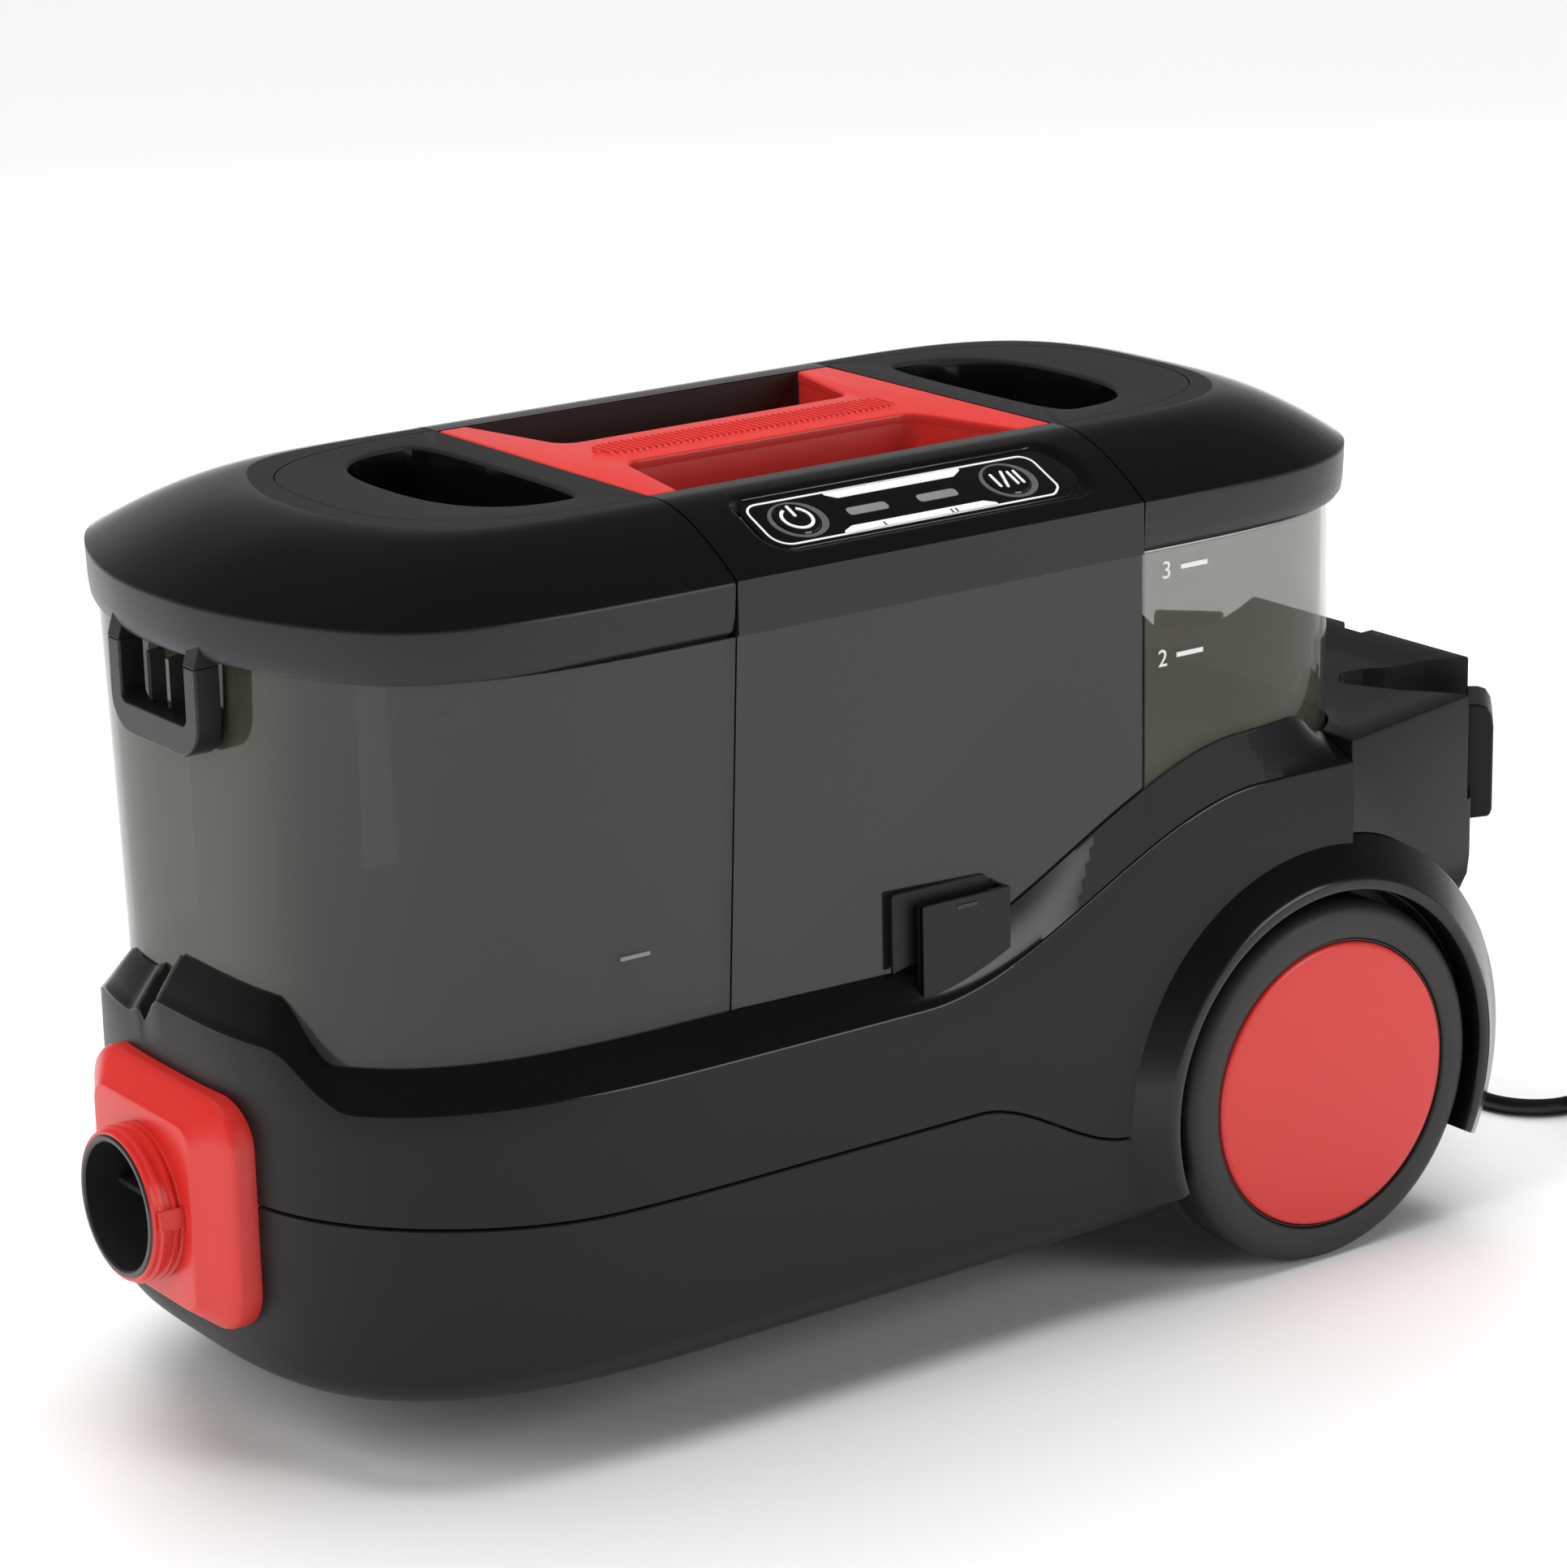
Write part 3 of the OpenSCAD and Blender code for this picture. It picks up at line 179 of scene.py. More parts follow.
M = {
    "base_satin": material("base_satin", (0.0065, 0.0065, 0.0072), 0.42, bump=0.12, grain=1500, mottle=0.06,
                           specular=0.27),
    "bevel_gloss": material("bevel_gloss", (0.0045, 0.0045, 0.005), 0.17, spread=0.02, specular=0.4),
    "shell_gloss": material("shell_gloss", (0.0035, 0.0035, 0.004), 0.12, spread=0.015, coat=0.3),
    "band_satin": material("band_satin", (0.011, 0.011, 0.012), 0.34, bump=0.08, grain=1600, mottle=0.05,
                           specular=0.36),
    "insert_matte": material("insert_matte", (0.020, 0.020, 0.021), 0.55, bump=0.5, grain=1100, mottle=0.08,
                             specular=0.4),
    "side_gloss": material("side_gloss", (0.016, 0.016, 0.017), 0.10, spread=0.012),
    "red_gloss": material("red_gloss", (0.68, 0.030, 0.024), 0.32, bump=0.05, grain=1500, mottle=0.04),
    "black_matte": material("black_matte", (0.010, 0.010, 0.010), 0.40, bump=0.1, grain=1300),
    "socket_black": material("socket_black", (0.022, 0.022, 0.022), 0.30, bump=0.1, grain=1300),
    "tank_smoke": material("tank_smoke", (0.040, 0.040, 0.040), 0.07, spread=0.02, alpha=0.70),
    "rib_smoke": material("rib_smoke", (0.030, 0.030, 0.028), 0.12, spread=0.03),
    "rear_smoke": material("rear_smoke", (0.105, 0.105, 0.074), 0.06, spread=0.02, alpha=0.36),
    "clear_frost": material("clear_frost", (0.55, 0.55, 0.53), 0.35, bump=0.1),
    "ring_grey": material("ring_grey", (0.10, 0.10, 0.10), 0.30, bump=0.2),
    "lens_grey": material("lens_grey", (0.22, 0.22, 0.22), 0.25, bump=0.1),
    "white_plastic": material("white_plastic", (0.82, 0.82, 0.80), 0.35, bump=0.05),
    "rubber_black": material("rubber_black", (0.014, 0.014, 0.014), 0.62, bump=0.3, grain=1400),
    "tyre_black": material("tyre_black", (0.010, 0.010, 0.011), 0.50, bump=0.25, grain=1300, mottle=0.08),
    "steel": material("steel", (0.55, 0.55, 0.56), 0.30, bump=0.1, metal=1),
    "motor_case": material("motor_case", (0.62, 0.62, 0.64), 0.28, bump=0.1, metal=1),
    "copper_wind": material("copper_wind", (0.55, 0.24, 0.10), 0.35, bump=0.6, grain=700, metal=1),
    "pcb_green": material("pcb_green", (0.02, 0.14, 0.05), 0.35, bump=0.2, grain=600),
    "cord_black": material("cord_black", (0.010, 0.010, 0.010), 0.38, bump=0.1, grain=900),
}


def paint_light_through_nose(made, tint):
    """Painted light: a warmer, lighter colour on a smoked tank towards its nose, standing in for the light that comes
    through both walls there.
    """
    nodes, links = made.node_tree.nodes, made.node_tree.links
    shader = nodes["Principled BSDF"]
    place = nodes.new("ShaderNodeTexCoord")
    split = nodes.new("ShaderNodeSeparateXYZ")
    reach = nodes.new("ShaderNodeMapRange")
    blend = nodes.new("ShaderNodeMix")
    blend.data_type = "RGBA"
    # the painted light is full at the nose and fades out over these few millimetres
    reach.inputs["From Min"].default_value = world((X1 - 151.5, 0, 0))[0]
    reach.inputs["From Max"].default_value = world((X1 - 146, 0, 0))[0]
    links.new(place.outputs["Object"], split.inputs["Vector"])
    links.new(split.outputs["X"], reach.inputs["Value"])
    links.new(reach.outputs["Result"], blend.inputs["Factor"])
    plain = shader.inputs["Base Color"].links[0].from_socket
    blend.inputs["A"].default_value = (*tint, 1)
    links.new(plain, blend.inputs["B"])
    links.new(blend.outputs["Result"], shader.inputs["Base Color"])


# ---- mesh helpers: outlines are lists of (x, y) or (x, y, z) in millimetres ----
def world(point):
    return (point[0] * MM + AXLE, point[1] * MM, point[2] * MM)


def finish_mesh(piece, sharp=35, bevel=0.0, segments=2):
    """Smooth shading with sharp corners, and a small rounded edge that catches the light."""
    for polygon in piece.data.polygons:
        polygon.use_smooth = True
    piece.data.set_sharp_from_angle(angle=math.radians(sharp))
    if bevel:
        round_edge = piece.modifiers.new("round_edge", "BEVEL")
        round_edge.width = bevel * MM
        round_edge.segments = segments
        round_edge.limit_method = "ANGLE"
        round_edge.angle_limit = math.radians(sharp)
        round_edge.harden_normals = True
    return piece


def face_outwards(mesh, merge=False):
    builder = bmesh.new()
    builder.from_mesh(mesh)
    if merge:
        bmesh.ops.remove_doubles(builder, verts=builder.verts, dist=1e-6)
    bmesh.ops.recalc_face_normals(builder, faces=builder.faces)
    builder.to_mesh(mesh)
    builder.free()


def link(name, data):
    """A new object in the scene."""
    thing = bpy.data.objects.new(name, data)
    bpy.context.scene.collection.objects.link(thing)
    return thing


def make(name, points, faces, look, body="root", stands_for=(), slot=None, sharp=35, bevel=0.0, matrix=None):
    """A piece from points in millimetres and faces, riding on its body."""
    mesh = bpy.data.meshes.new(name)
    if matrix is not None:
        points = [matrix @ Vector(p) for p in points]
    mesh.from_pydata([world(p) for p in points], [], faces)
    face_outwards(mesh, merge=True)
    piece = link(name, mesh)
    mesh.materials.append(M[look])
    finish_mesh(piece, sharp, bevel)
    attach(piece, body)
    if stands_for:
        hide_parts(*stands_for)
    return piece


def join_shapes(*shapes):
    """Several (points, faces) as one."""
    points, faces = [], []
    for some, these in shapes:
        start = len(points)
        points += list(some)
        faces += [tuple(start + i for i in face) for face in these]
    return points, faces


def chain(loops, ring=False, caps=True, closed=True):
    """Skins a row of loops with the same number of points; ring joins the last loop to the first."""
    count = len(loops[0])
    points = [p for loop in loops for p in loop]
    faces = []
    rows = len(loops) if ring else len(loops) - 1
    columns = count if closed else count - 1
    for row in range(rows):
        below, above = row * count, (row + 1) % len(loops) * count
        for i in range(columns):
            j = (i + 1) % count
            faces.append((below + i, below + j, above + j, above + i))
    if caps and not ring and closed:
        faces.append(tuple(range(count)))
        faces.append(tuple(range(len(points) - count, len(points))))
    return points, faces


def at(outline, z):
    return [(p[0], p[1], z) for p in outline]


def slab(outline, z0, z1):
    """A flat outline given height."""
    return chain([at(outline, z0), at(outline, z1)])


def upright(outline, y0, y1):
    """An outline of (x, z) given depth along Y."""
    return chain([[(x, y, z) for x, z in outline] for y in (y0, y1)])


def along_x(outline, x0, x1):
    """An outline of (y, z) given length along X."""
    return chain([[(x, y, z) for y, z in outline] for x in (x0, x1)])


def box_shape(x, y, z):
    return slab([(x[0], y[0]), (x[1], y[0]), (x[1], y[1]), (x[0], y[1])], *z)


def arc_points(centre, radius, start, end, count):
    return [(centre[0] + radius * math.cos(math.radians(a)), centre[1] + radius * math.sin(math.radians(a)))
            for a in np.linspace(start, end, count)]


def circle(centre, radius, count):
    return arc_points(centre, radius, 0, 360, count + 1)[:-1]


def quarter(count=5):
    """Sine and cosine from 0 to 90 degrees, for rounded edges."""
    return [(math.sin(a), math.cos(a)) for a in np.radians(np.linspace(0, 90, count))]


def rounded(corners, radii, count=6):
    """A closed outline with its corners rounded."""
    made = []
    for i, corner in enumerate(corners):
        radius = radii[i] if isinstance(radii, (list, tuple)) else radii
        p = np.array(corner, float)
        a = np.array(corners[i - 1], float) - p
        b = np.array(corners[(i + 1) % len(corners)], float) - p
        a, b = a / np.linalg.norm(a), b / np.linalg.norm(b)
        if radius < 0.05:
            made.append(tuple(p))
            continue
        half = math.acos(max(-1, min(1, float(a @ b)))) / 2
        reach = radius / math.tan(half)
        centre = p + (a + b) / np.linalg.norm(a + b) * radius / math.sin(half)
        start, end = p + a * reach - centre, p + b * reach - centre
        turn = math.acos(max(-1, min(1, float(start @ end) / radius ** 2)))
        for t in np.linspace(0, 1, count):
            mix = (math.sin((1 - t) * turn) * start + math.sin(t * turn) * end) / math.sin(turn)
            made.append(tuple(centre + mix))
    return made


def grow(outline, distance):
    """The outline moved outwards (or inwards, if negative) along its own normals."""
    pts = np.array(outline, float)[:, :2]
    area = np.sum(pts[:, 0] * np.roll(pts[:, 1], -1) - np.roll(pts[:, 0], -1) * pts[:, 1])
    sign = 1 if area > 0 else -1

    def side_normal(step):
        step = step / np.maximum(np.linalg.norm(step, axis=1), 1e-9)[:, None]
        return sign * np.stack([step[:, 1], -step[:, 0]], 1)

    n1, n2 = side_normal(np.roll(pts, -1, 0) - pts), side_normal(pts - np.roll(pts, 1, 0))
    normal = n1 + n2
    normal /= np.linalg.norm(normal, axis=1)[:, None]
    reach = np.maximum(np.sum(normal * n1, 1), 0.35)
    moved = pts + normal * (distance / reach)[:, None]
    return [tuple(p) for p in moved]


def pillow(outline, z0, z1, top=1.0, count=4):
    """An extruded outline with a rounded top edge."""
    loops = [at(outline, z0)]
    loops += [at(grow(outline, -top * (1 - c)), z1 - top * (1 - s)) for s, c in quarter(count)]
    return chain(loops)


def spin(profile, start=0.0, end=360.0, count=128):
    """A closed profile of (radius, y) turned about the axle line; an open range gets end caps."""
    whole = abs(end - start) >= 359.9
    angles = np.radians(np.linspace(start, end, count + 1)[:-1 if whole else None])
    return chain([[(r * math.cos(a), y, TYRE_R + r * math.sin(a)) for r, y in profile] for a in angles],
                 ring=whole)


def spin_x(profile, y=0.0, z=0.0, count=96):
    """A closed profile of (radius, x) turned about a line along X."""
    angles = np.radians(np.linspace(0, 360, count + 1)[:-1])
    return chain([[(x, y + r * math.cos(a), z + r * math.sin(a)) for r, x in profile] for a in angles],
                 ring=True)


def smooth(t):
    t = np.clip(t, 0, 1)
    return t * t * (3 - 2 * t)


def half_plan(x_seam, length, half, n, direction, count=72):
    """Half a superellipse from the -Y seam corner round the nose to the +Y seam corner."""
    t = np.radians(np.linspace(-90, 90, 1441))
    share = np.abs(np.sin(t)) ** (2 / 3)
    power = n[0] + (n[1] - n[0]) * share ** 3 if isinstance(n, tuple) else n
    x = x_seam + direction * length * (1 - share ** power) ** (1 / power)
    y = half * np.sign(np.sin(t)) * share
    steps = np.concatenate([[0], np.cumsum(np.hypot(np.diff(x), np.diff(y)))])
    want = np.linspace(0, steps[-1], count + 1)
    return [(float(a), float(b)) for a, b in zip(np.interp(want, steps, x), np.interp(want, steps, y))]


def lid_plan(x_seam, length, half, n, direction, count=72, across=16):
    """half_plan closed along the seam with points of its own."""
    curve = half_plan(x_seam, length, half, n, direction, count)
    seam = [(x_seam, float(y)) for y in np.linspace(half, -half, across + 1)[1:-1]]
    return curve + seam


def apply_modifiers(piece):
    bpy.context.view_layer.update()
    evaluated = piece.evaluated_get(bpy.context.evaluated_depsgraph_get())
    mesh = bpy.data.meshes.new_from_object(evaluated)
    piece.modifiers.clear()
    piece.data = mesh


def cut(piece, *tools):
    """Cuts helper solids out of a piece and applies the result, before any rounded edge."""
    for tool in tools:
        work = piece.modifiers.new("cut", "BOOLEAN")
        work.operation = "DIFFERENCE"
        work.solver = "EXACT"
        work.object = tool
    saved = [(m.width, m.segments, m.angle_limit) for m in piece.modifiers if m.type == "BEVEL"]
    for name in [m.name for m in piece.modifiers if m.type == "BEVEL"]:
        piece.modifiers.remove(piece.modifiers[name])
    apply_modifiers(piece)
    for tool in tools:
        bpy.data.objects.remove(tool)
    for width, segments, angle in saved:
        finish_mesh(piece, math.degrees(angle), width / MM, segments)
    if not saved:
        finish_mesh(piece)


def tool_solid(points, faces):
    mesh = bpy.data.meshes.new("tool")
    mesh.from_pydata([world(p) for p in points], [], faces)
    face_outwards(mesh)
    tool = link("tool", mesh)
    tool.hide_render = True
    return tool


# ---- lids ----
def out(u):
    """How far out the shoulder stands: 1 at the band (u = 0), 0 at the deck (u = 90)."""
    return 1 - u / 90


def up(u):
    return 1 - out(u) ** SHOULDER_N


SIDES = {
    "front": {"dir": -1, "seam": X1, "len": FRONT_LEN - GAP, "nose": 61, "insert": 70, "dee": X1 - 15.5,
              "n": (2.4, 4.0)},
    "rear": {"dir": 1, "seam": X2, "len": REAR_LEN - GAP, "nose": 46, "insert": 50, "dee": X2 + 15,
             "n": (3.1, 3.4)},
}


def seam_at(side, inset):
    return side["seam"] + side["dir"] * (GAP + inset)


def shoulder_loop(side, u, inset):
    length = side["len"] - side["nose"] * (1 - out(u)) - 2 * inset
    half = DECK_HW + (HALF_W - inset - DECK_HW) * out(u)
    height = BAND_HI + (DECK - BAND_HI - inset) * up(u)
    return at(lid_plan(seam_at(side, inset), length, half, side["n"], side["dir"]), height)


def insert_loop(side, inset, z):
    return at(lid_plan(seam_at(side, inset), side["len"] - side["insert"] - 2 * inset, 74 - inset, 2.8,
                       side["dir"]), z)


def lid_cover(name, body):
    side = SIDES[name]
    angles = [0, 1, 3, 7, 13, 19, 26, 34, 42, 50, 58, 66, 73, 79, 84, 88, 90]
    loops = [shoulder_loop(side, u, 0) for u in angles]
    loops.append(insert_loop(side, -0.35, DECK))
    loops.append(insert_loop(side, -0.35, DECK - 2.5))
    loops += [shoulder_loop(side, u, 2.5) for u in reversed(angles)]
    points, faces = chain(loops, ring=True)
    piece = make(name + "_shoulder", points, faces, "shell_gloss", body, (name + "_lid_cover",), bevel=0.5)
    piece.data.materials.append(M["insert_matte"])
    for polygon in piece.data.polygons:
        if polygon.center.z > (DECK - 0.05) * MM and polygon.normal.z > 0.9:
            polygon.material_index = 1


def band_loop(side, inset, z):
    half = HALF_W - (BAND_HI - z) / 20 - inset
    return at(lid_plan(seam_at(side, inset), side["len"] - 2 * inset, half, side["n"], side["dir"]), z)


def lid_band(name, body):
    """The satin ring under the shoulder, with a chamfer back to the tank and an opening for the float."""
    side = SIDES[name]
    points, faces = chain([
        band_loop(side, 5, BAND_LO + 3), band_loop(side, 3, BAND_HI - 0.2), band_loop(side, 0.5, BAND_HI - 0.2),
        band_loop(side, 0.1, BAND_HI - 0.8), band_loop(side, 0, BAND_HI - 1.6), band_loop(side, 0.2, BAND_LO + 7),
        band_loop(side, 0.7, BAND_LO + 2.2), band_loop(side, 2.2, BAND_LO)])
    piece = make(name + "_band", points, faces, "band_satin", body, (name + "_lid",), sharp=30)
    if name == "front":
        low, high = spans("float_ball")
        centre = ((low.x + high.x) / 2, (low.y + high.y) / 2)
        hole = circle(centre, (high.x - low.x) / 2 + 1.5, 64)
        cut(piece, tool_solid(*slab(hole, BAND_LO - 5, BAND_LO + 12)))
        finish_mesh(piece, 30)


def dee_outline(side, grow_by=0.0, count=56):
    """The finger recess: flat towards the seam with round corners, curved towards the nose."""
    flat = 9
    start = side["dee"] + side["dir"] * flat
    curved = half_plan(start, 41 + grow_by, 57 + grow_by, 2.6, side["dir"], count)
    back = half_plan(start, flat + grow_by, 57 + grow_by, 3.4, -side["dir"], count // 2)
    return curved + back[::-1][1:-1]


def by_angle(outline, centre, angles):
    """An outline sampled where rays from its centre meet it."""
    pts = np.array(outline, float)
    dense = []
    for a, b in zip(pts, np.roll(pts, -1, 0)):
        dense += [a + (b - a) * t for t in np.linspace(0, 1, 12, endpoint=False)]
    dense = np.array(dense)
    turn = np.arctan2(dense[:, 1] - centre[1], dense[:, 0] - centre[0])
    order = np.argsort(turn)
    turn, dense = turn[order], dense[order]
    wide = np.concatenate([turn - 2 * np.pi, turn, turn + 2 * np.pi])
    xs, ys = np.tile(dense[:, 0], 3), np.tile(dense[:, 1], 3)
    return [(float(np.interp(a, wide, xs)), float(np.interp(a, wide, ys))) for a in angles]


def lid_insert(name, body):
    side = SIDES[name]
    centre = (side["dee"] + side["dir"] * 22, 0)
    outer = lid_plan(seam_at(side, 0), side["len"] - side["insert"], 74, 2.8, side["dir"])
    corners = [math.atan2(s * 74, seam_at(side, 0) - centre[0]) for s in (-1, 1)]
    angles = sorted(list(np.linspace(-math.pi, math.pi, 256, endpoint=False)) + corners)

    def outer_at(inset, z):
        return at(by_angle(grow(outer, -inset), centre, angles), z)

    def dee_at(grow_by, z):
        return at(by_angle(dee_outline(side, grow_by), centre, angles), z)

    loops = [outer_at(0.0, DECK - 2.5), outer_at(0.0, DECK - 0.3), outer_at(0.3, DECK)]
    loops += [dee_at(1.6 * (1 - s), DECK - 1.6 * (1 - c)) for s, c in quarter()]
    loops += [dee_at(-0.6, DECK - 16), dee_at(-1.2, DECK - 29), dee_at(-4, DECK - 32)]
    upper = chain(loops, caps=False)
    count = len(angles)
    upper[1].append(tuple(range(len(upper[0]) - count, len(upper[0]))))
    lower = chain([dee_at(1.4, DECK - 34), dee_at(2, DECK - 2.5), loops[0]], caps=False)
    lower[1].append(tuple(range(count)))
    piece = make(name + "_insert", *join_shapes(upper, lower), "insert_matte", body, (name + "_lid_insert",),
                 sharp=40)
    piece.data.materials.append(M["shell_gloss"])
    for polygon in piece.data.polygons:
        if polygon.center.z < (DECK - 2.2) * MM:
            polygon.material_index = 1


# ---- tanks ----
TANK_WALL = 2.5


def tank_loop(inset, top, z):
    length = (151 if top else 153.5) * FRONT_LEN / 164 - GAP - 2 * inset
    half = HALF_W - 1.1 - (0 if top else 10) - inset
    return at(lid_plan(X1 - GAP - inset, length, half, 3.6 if top else 3.2, -1), z)


def tank_between(inset, z):
    """The front tank's outline at a height, its walls leaning outwards as they rise."""
    share = (z - TANK_LO) / (TANK_TOP - TANK_LO)
    low, high = tank_loop(inset, False, z), tank_loop(inset, True, z)
    return [tuple(np.array(a) * (1 - share) + np.array(b) * share) for a, b in zip(low, high)]


def front_tank():
    loops = [tank_between(6, TANK_LO)]
    loops += [tank_between(4 * (1 - s), TANK_LO + 4 * (1 - c)) for s, c in quarter()]
    loops += [tank_between(0, z) for z in np.linspace(TANK_LO + 12, TANK_TOP, 9)]
    loops += [tank_between(TANK_WALL, z) for z in np.linspace(TANK_TOP, TANK_LO + 12, 9)]
    loops += [tank_between(TANK_WALL + 3 * (1 - s), TANK_LO + TANK_WALL + 3 * (1 - c)) for s, c in quarter()[::-1]]
    latch_x = X1 - 162
    webs = []
    for y in (-14, 0, 14):
        outline = [(X1 - 140, TANK_TOP - 3), (latch_x + 3.4, TANK_TOP - 6), (latch_x + 3.4, TANK_TOP - 24),
                   (X1 - 140, TANK_TOP - 34)]
        webs.append(upright(outline, y - 1.2, y + 1.2))
    make("tank_ribs", *join_shapes(*webs), "rib_smoke", "front_tank", slot="tank_smoke")
    make("dirty_water_tank", *chain(loops), "tank_smoke", "front_tank", ("front_tank",))


def rear_tank():
    def loop(inset, z):
        return at(lid_plan(X2 + GAP + inset, REAR_LEN - 12 - GAP - 2 * inset, HALF_W - 0.6 - inset, 3.4, 1), z)

    low = REAR_TANK_LO
    loops = [loop(7, low)] + [loop(5 * (1 - s), low + 5 * (1 - c)) for s, c in quarter()]
    loops += [loop(0, TANK_TOP), loop(TANK_WALL, TANK_TOP)]
    loops += [loop(TANK_WALL + 4 * (1 - s), low + TANK_WALL + 4 * (1 - c)) for s, c in quarter()[::-1]]
    make("clean_water_tank", *chain(loops), "rear_smoke", "rear_tank", ("rear_tank",), "tank_smoke")


# ---- base: a station every few millimetres round the plan, each with its own heights ----
RISE_BACK = CADDY_FRONT - GAP


def base_stations():
    """Outer skin point, outward normal and inner edge of the ledge for each station."""
    nose_count = 150
    t = np.radians(np.linspace(-90, 90, 4001))
    n = 3
    x = X1 - BASE_LEN * np.abs(np.cos(t)) ** (2 / n)
    y = BASE_HW * np.sign(np.sin(t)) * np.abs(np.sin(t)) ** (2 / n)
    steps = np.concatenate([[0], np.cumsum(np.hypot(np.diff(x), np.diff(y)))])
    want = np.linspace(0, steps[-1], nose_count + 1)
    nose = np.stack([np.interp(want, steps, x), np.interp(want, steps, y)], 1)
    tank = np.array(half_plan(X1, 153.5 * FRONT_LEN / 164 + 0.6, HALF_W - 10.2, 3.2, -1, nose_count))
    straight = np.linspace(RISE_BACK, X1, 110)[:-1]
    near = np.stack([straight, np.full(len(straight), -BASE_HW)], 1)
    far = near[::-1] * np.array([1, -1])
    inner_y = ledge_inner(straight)
    near_in = np.stack([straight, -inner_y], 1)
    far_in = near_in[::-1] * np.array([1, -1])
    outline = np.concatenate([near, nose, far])
    inner = np.concatenate([near_in, tank, far_in])
    along = np.gradient(outline, axis=0)
    along /= np.linalg.norm(along, axis=1)[:, None]
    normal = np.stack([-along[:, 1], along[:, 0]], 1)
    centre = np.array([-190.0, 0])
    flip = np.sign(np.sum(normal * (outline - centre), 1))
    return outline, normal * flip[:, None], inner


def ledge_inner(x):
    """Half width of the ledge's inner edge: it follows the casing, then the rear tank."""
    beside = 116.2 + (HALF_W - 0.1 - 116.2) * (x - X1) / (X2 - X1)
    share = np.clip((x - X2) / (REAR_LEN - 12), 0, 0.999)
    tank = (HALF_W + 0.2) * (1 - share ** 3.4) ** (1 / 3.4)
    return np.where(x < X2, beside, tank)


BASE = base_stations()


def base_row(inset, z, share=0.0):
    """One height round the base, inset from its skin or part of the way in to the ledge's inner edge."""
    outline, normal, inner = BASE
    p = outline - normal * inset
    p = p + (inner - p) * share
    z = np.broadcast_to(z, len(p))
    return [(float(a), float(b), float(c)) for a, b, c in zip(p[:, 0], p[:, 1], z)]


def seam_height(x):
    return SEAM_Z - 27 * smooth((x + 170) / 75) + 5 * smooth((-x - 330) / 100)


def notch(y):
    return 11 * np.clip(1 - np.abs(y - 20) / 9, 0, 1)


def far_fall(y):
    """The collar drops away past the notch, on the far side."""
    return 10 * smooth((y - 22) / 10)


def outer_height(x, y):
    rise = 146 + 56 * smooth((x + 195) / 165)
    collar = np.where(x < X1, (20 - far_fall(y)) * (1 - smooth((np.abs(y) - 60) / 32)), 0)
    return rise + collar - np.where(x < X1 - 100, notch(y), 0)


def inner_height(x, y):
    rise = LEDGE_Z + (WALL_Z - LEDGE_Z) * smooth((x + 203) / 165) - 12 * smooth((x + 8) / 24.6)
    collar = np.where(x < X1, (22.5 - far_fall(y)) * (1 - smooth((np.abs(y) - 58) / 24)), 0)
    return rise + collar - np.where(x < X1 - 100, notch(y), 0)


def solidify(piece, thickness):
    shell = piece.modifiers.new("shell", "SOLIDIFY")
    shell.thickness = thickness * MM
    shell.offset = -1
    shell.use_even_offset = False
    apply_modifiers(piece)


def wheel_wells():
    ring = circle((0, TYRE_R), WELL_R, 128)
    return [tool_solid(*upright(ring, s * WELL_IN, s * 200)) for s in (-1, 1)]


def base_upper():
    row = base_row
    x, y = BASE[0][:, 0], BASE[0][:, 1]
    seam, low, high = seam_height(x) + 0.3, outer_height(x, y), inner_height(x, y)
    rows = [row(0.5, seam), row(0, seam + 0.5)]
    rows += [row(0, seam + (low - 1 - seam) * k) for k in (0.33, 0.66, 1)]
    rows += [row(0.25, low - 0.25), row(0.9, low + 0.3)]
    for k in (0.2, 0.4, 0.6, 0.8, 0.95):
        crown = 0.5 * math.sin(math.pi * k)
        rows.append(row(0.9, low + 0.3 + (high - low - 0.3) * k + crown, k))
    rows += [row(0.9, high, 0.995), row(0.9, high - 0.5, 1.0)]
    rows += [row(0.9, high - 1 - (high - 1 - FRONT_DECK) * k, 1.0) for k in (0.3, 0.7, 1)]
    rows += [row(0.9, FRONT_DECK - 3, 1.0), row(2.4, FRONT_DECK - 8), row(2.4, seam)]
    piece = make("base_upper_shell", *chain(list(zip(*rows))), "base_satin", "root", ("base_upper",), sharp=32)
    cut(piece, *wheel_wells())
    finish_mesh(piece, 32)
    piece.data.materials.append(M["bevel_gloss"])
    gloss_bevel(piece)
    deck = half_plan(X1, 153, HALF_W - 10.5, 3.2, -1)
    deck = deck + [(X2 - 12, HALF_W - 4), (X2 - 12, -HALF_W + 4)]
    floor = slab(deck, FRONT_DECK - 3, FRONT_DECK)
    step = box_shape((X2 - 14, RISE_BACK), (-HALF_W + 1, HALF_W - 1), (FRONT_DECK - 3, REAR_DECK))
    flat = make("base_deck", *join_shapes(floor, step), "base_satin", slot="base_satin")
    duct = spans("suction_duct")
    cut(flat, tool_solid(*box_shape((duct[0].x + 2, duct[1].x - 2), (duct[0].y + 2, duct[1].y - 2),
                                    (FRONT_DECK - 9, FRONT_DECK + 9))))


def gloss_bevel(piece):
    """The sloping ledge is polished; the walls are satin."""
    for polygon in piece.data.polygons:
        if 0.25 < abs(polygon.normal.z) < 0.995 and polygon.center.z > 144 * MM:
            polygon.material_index = 1


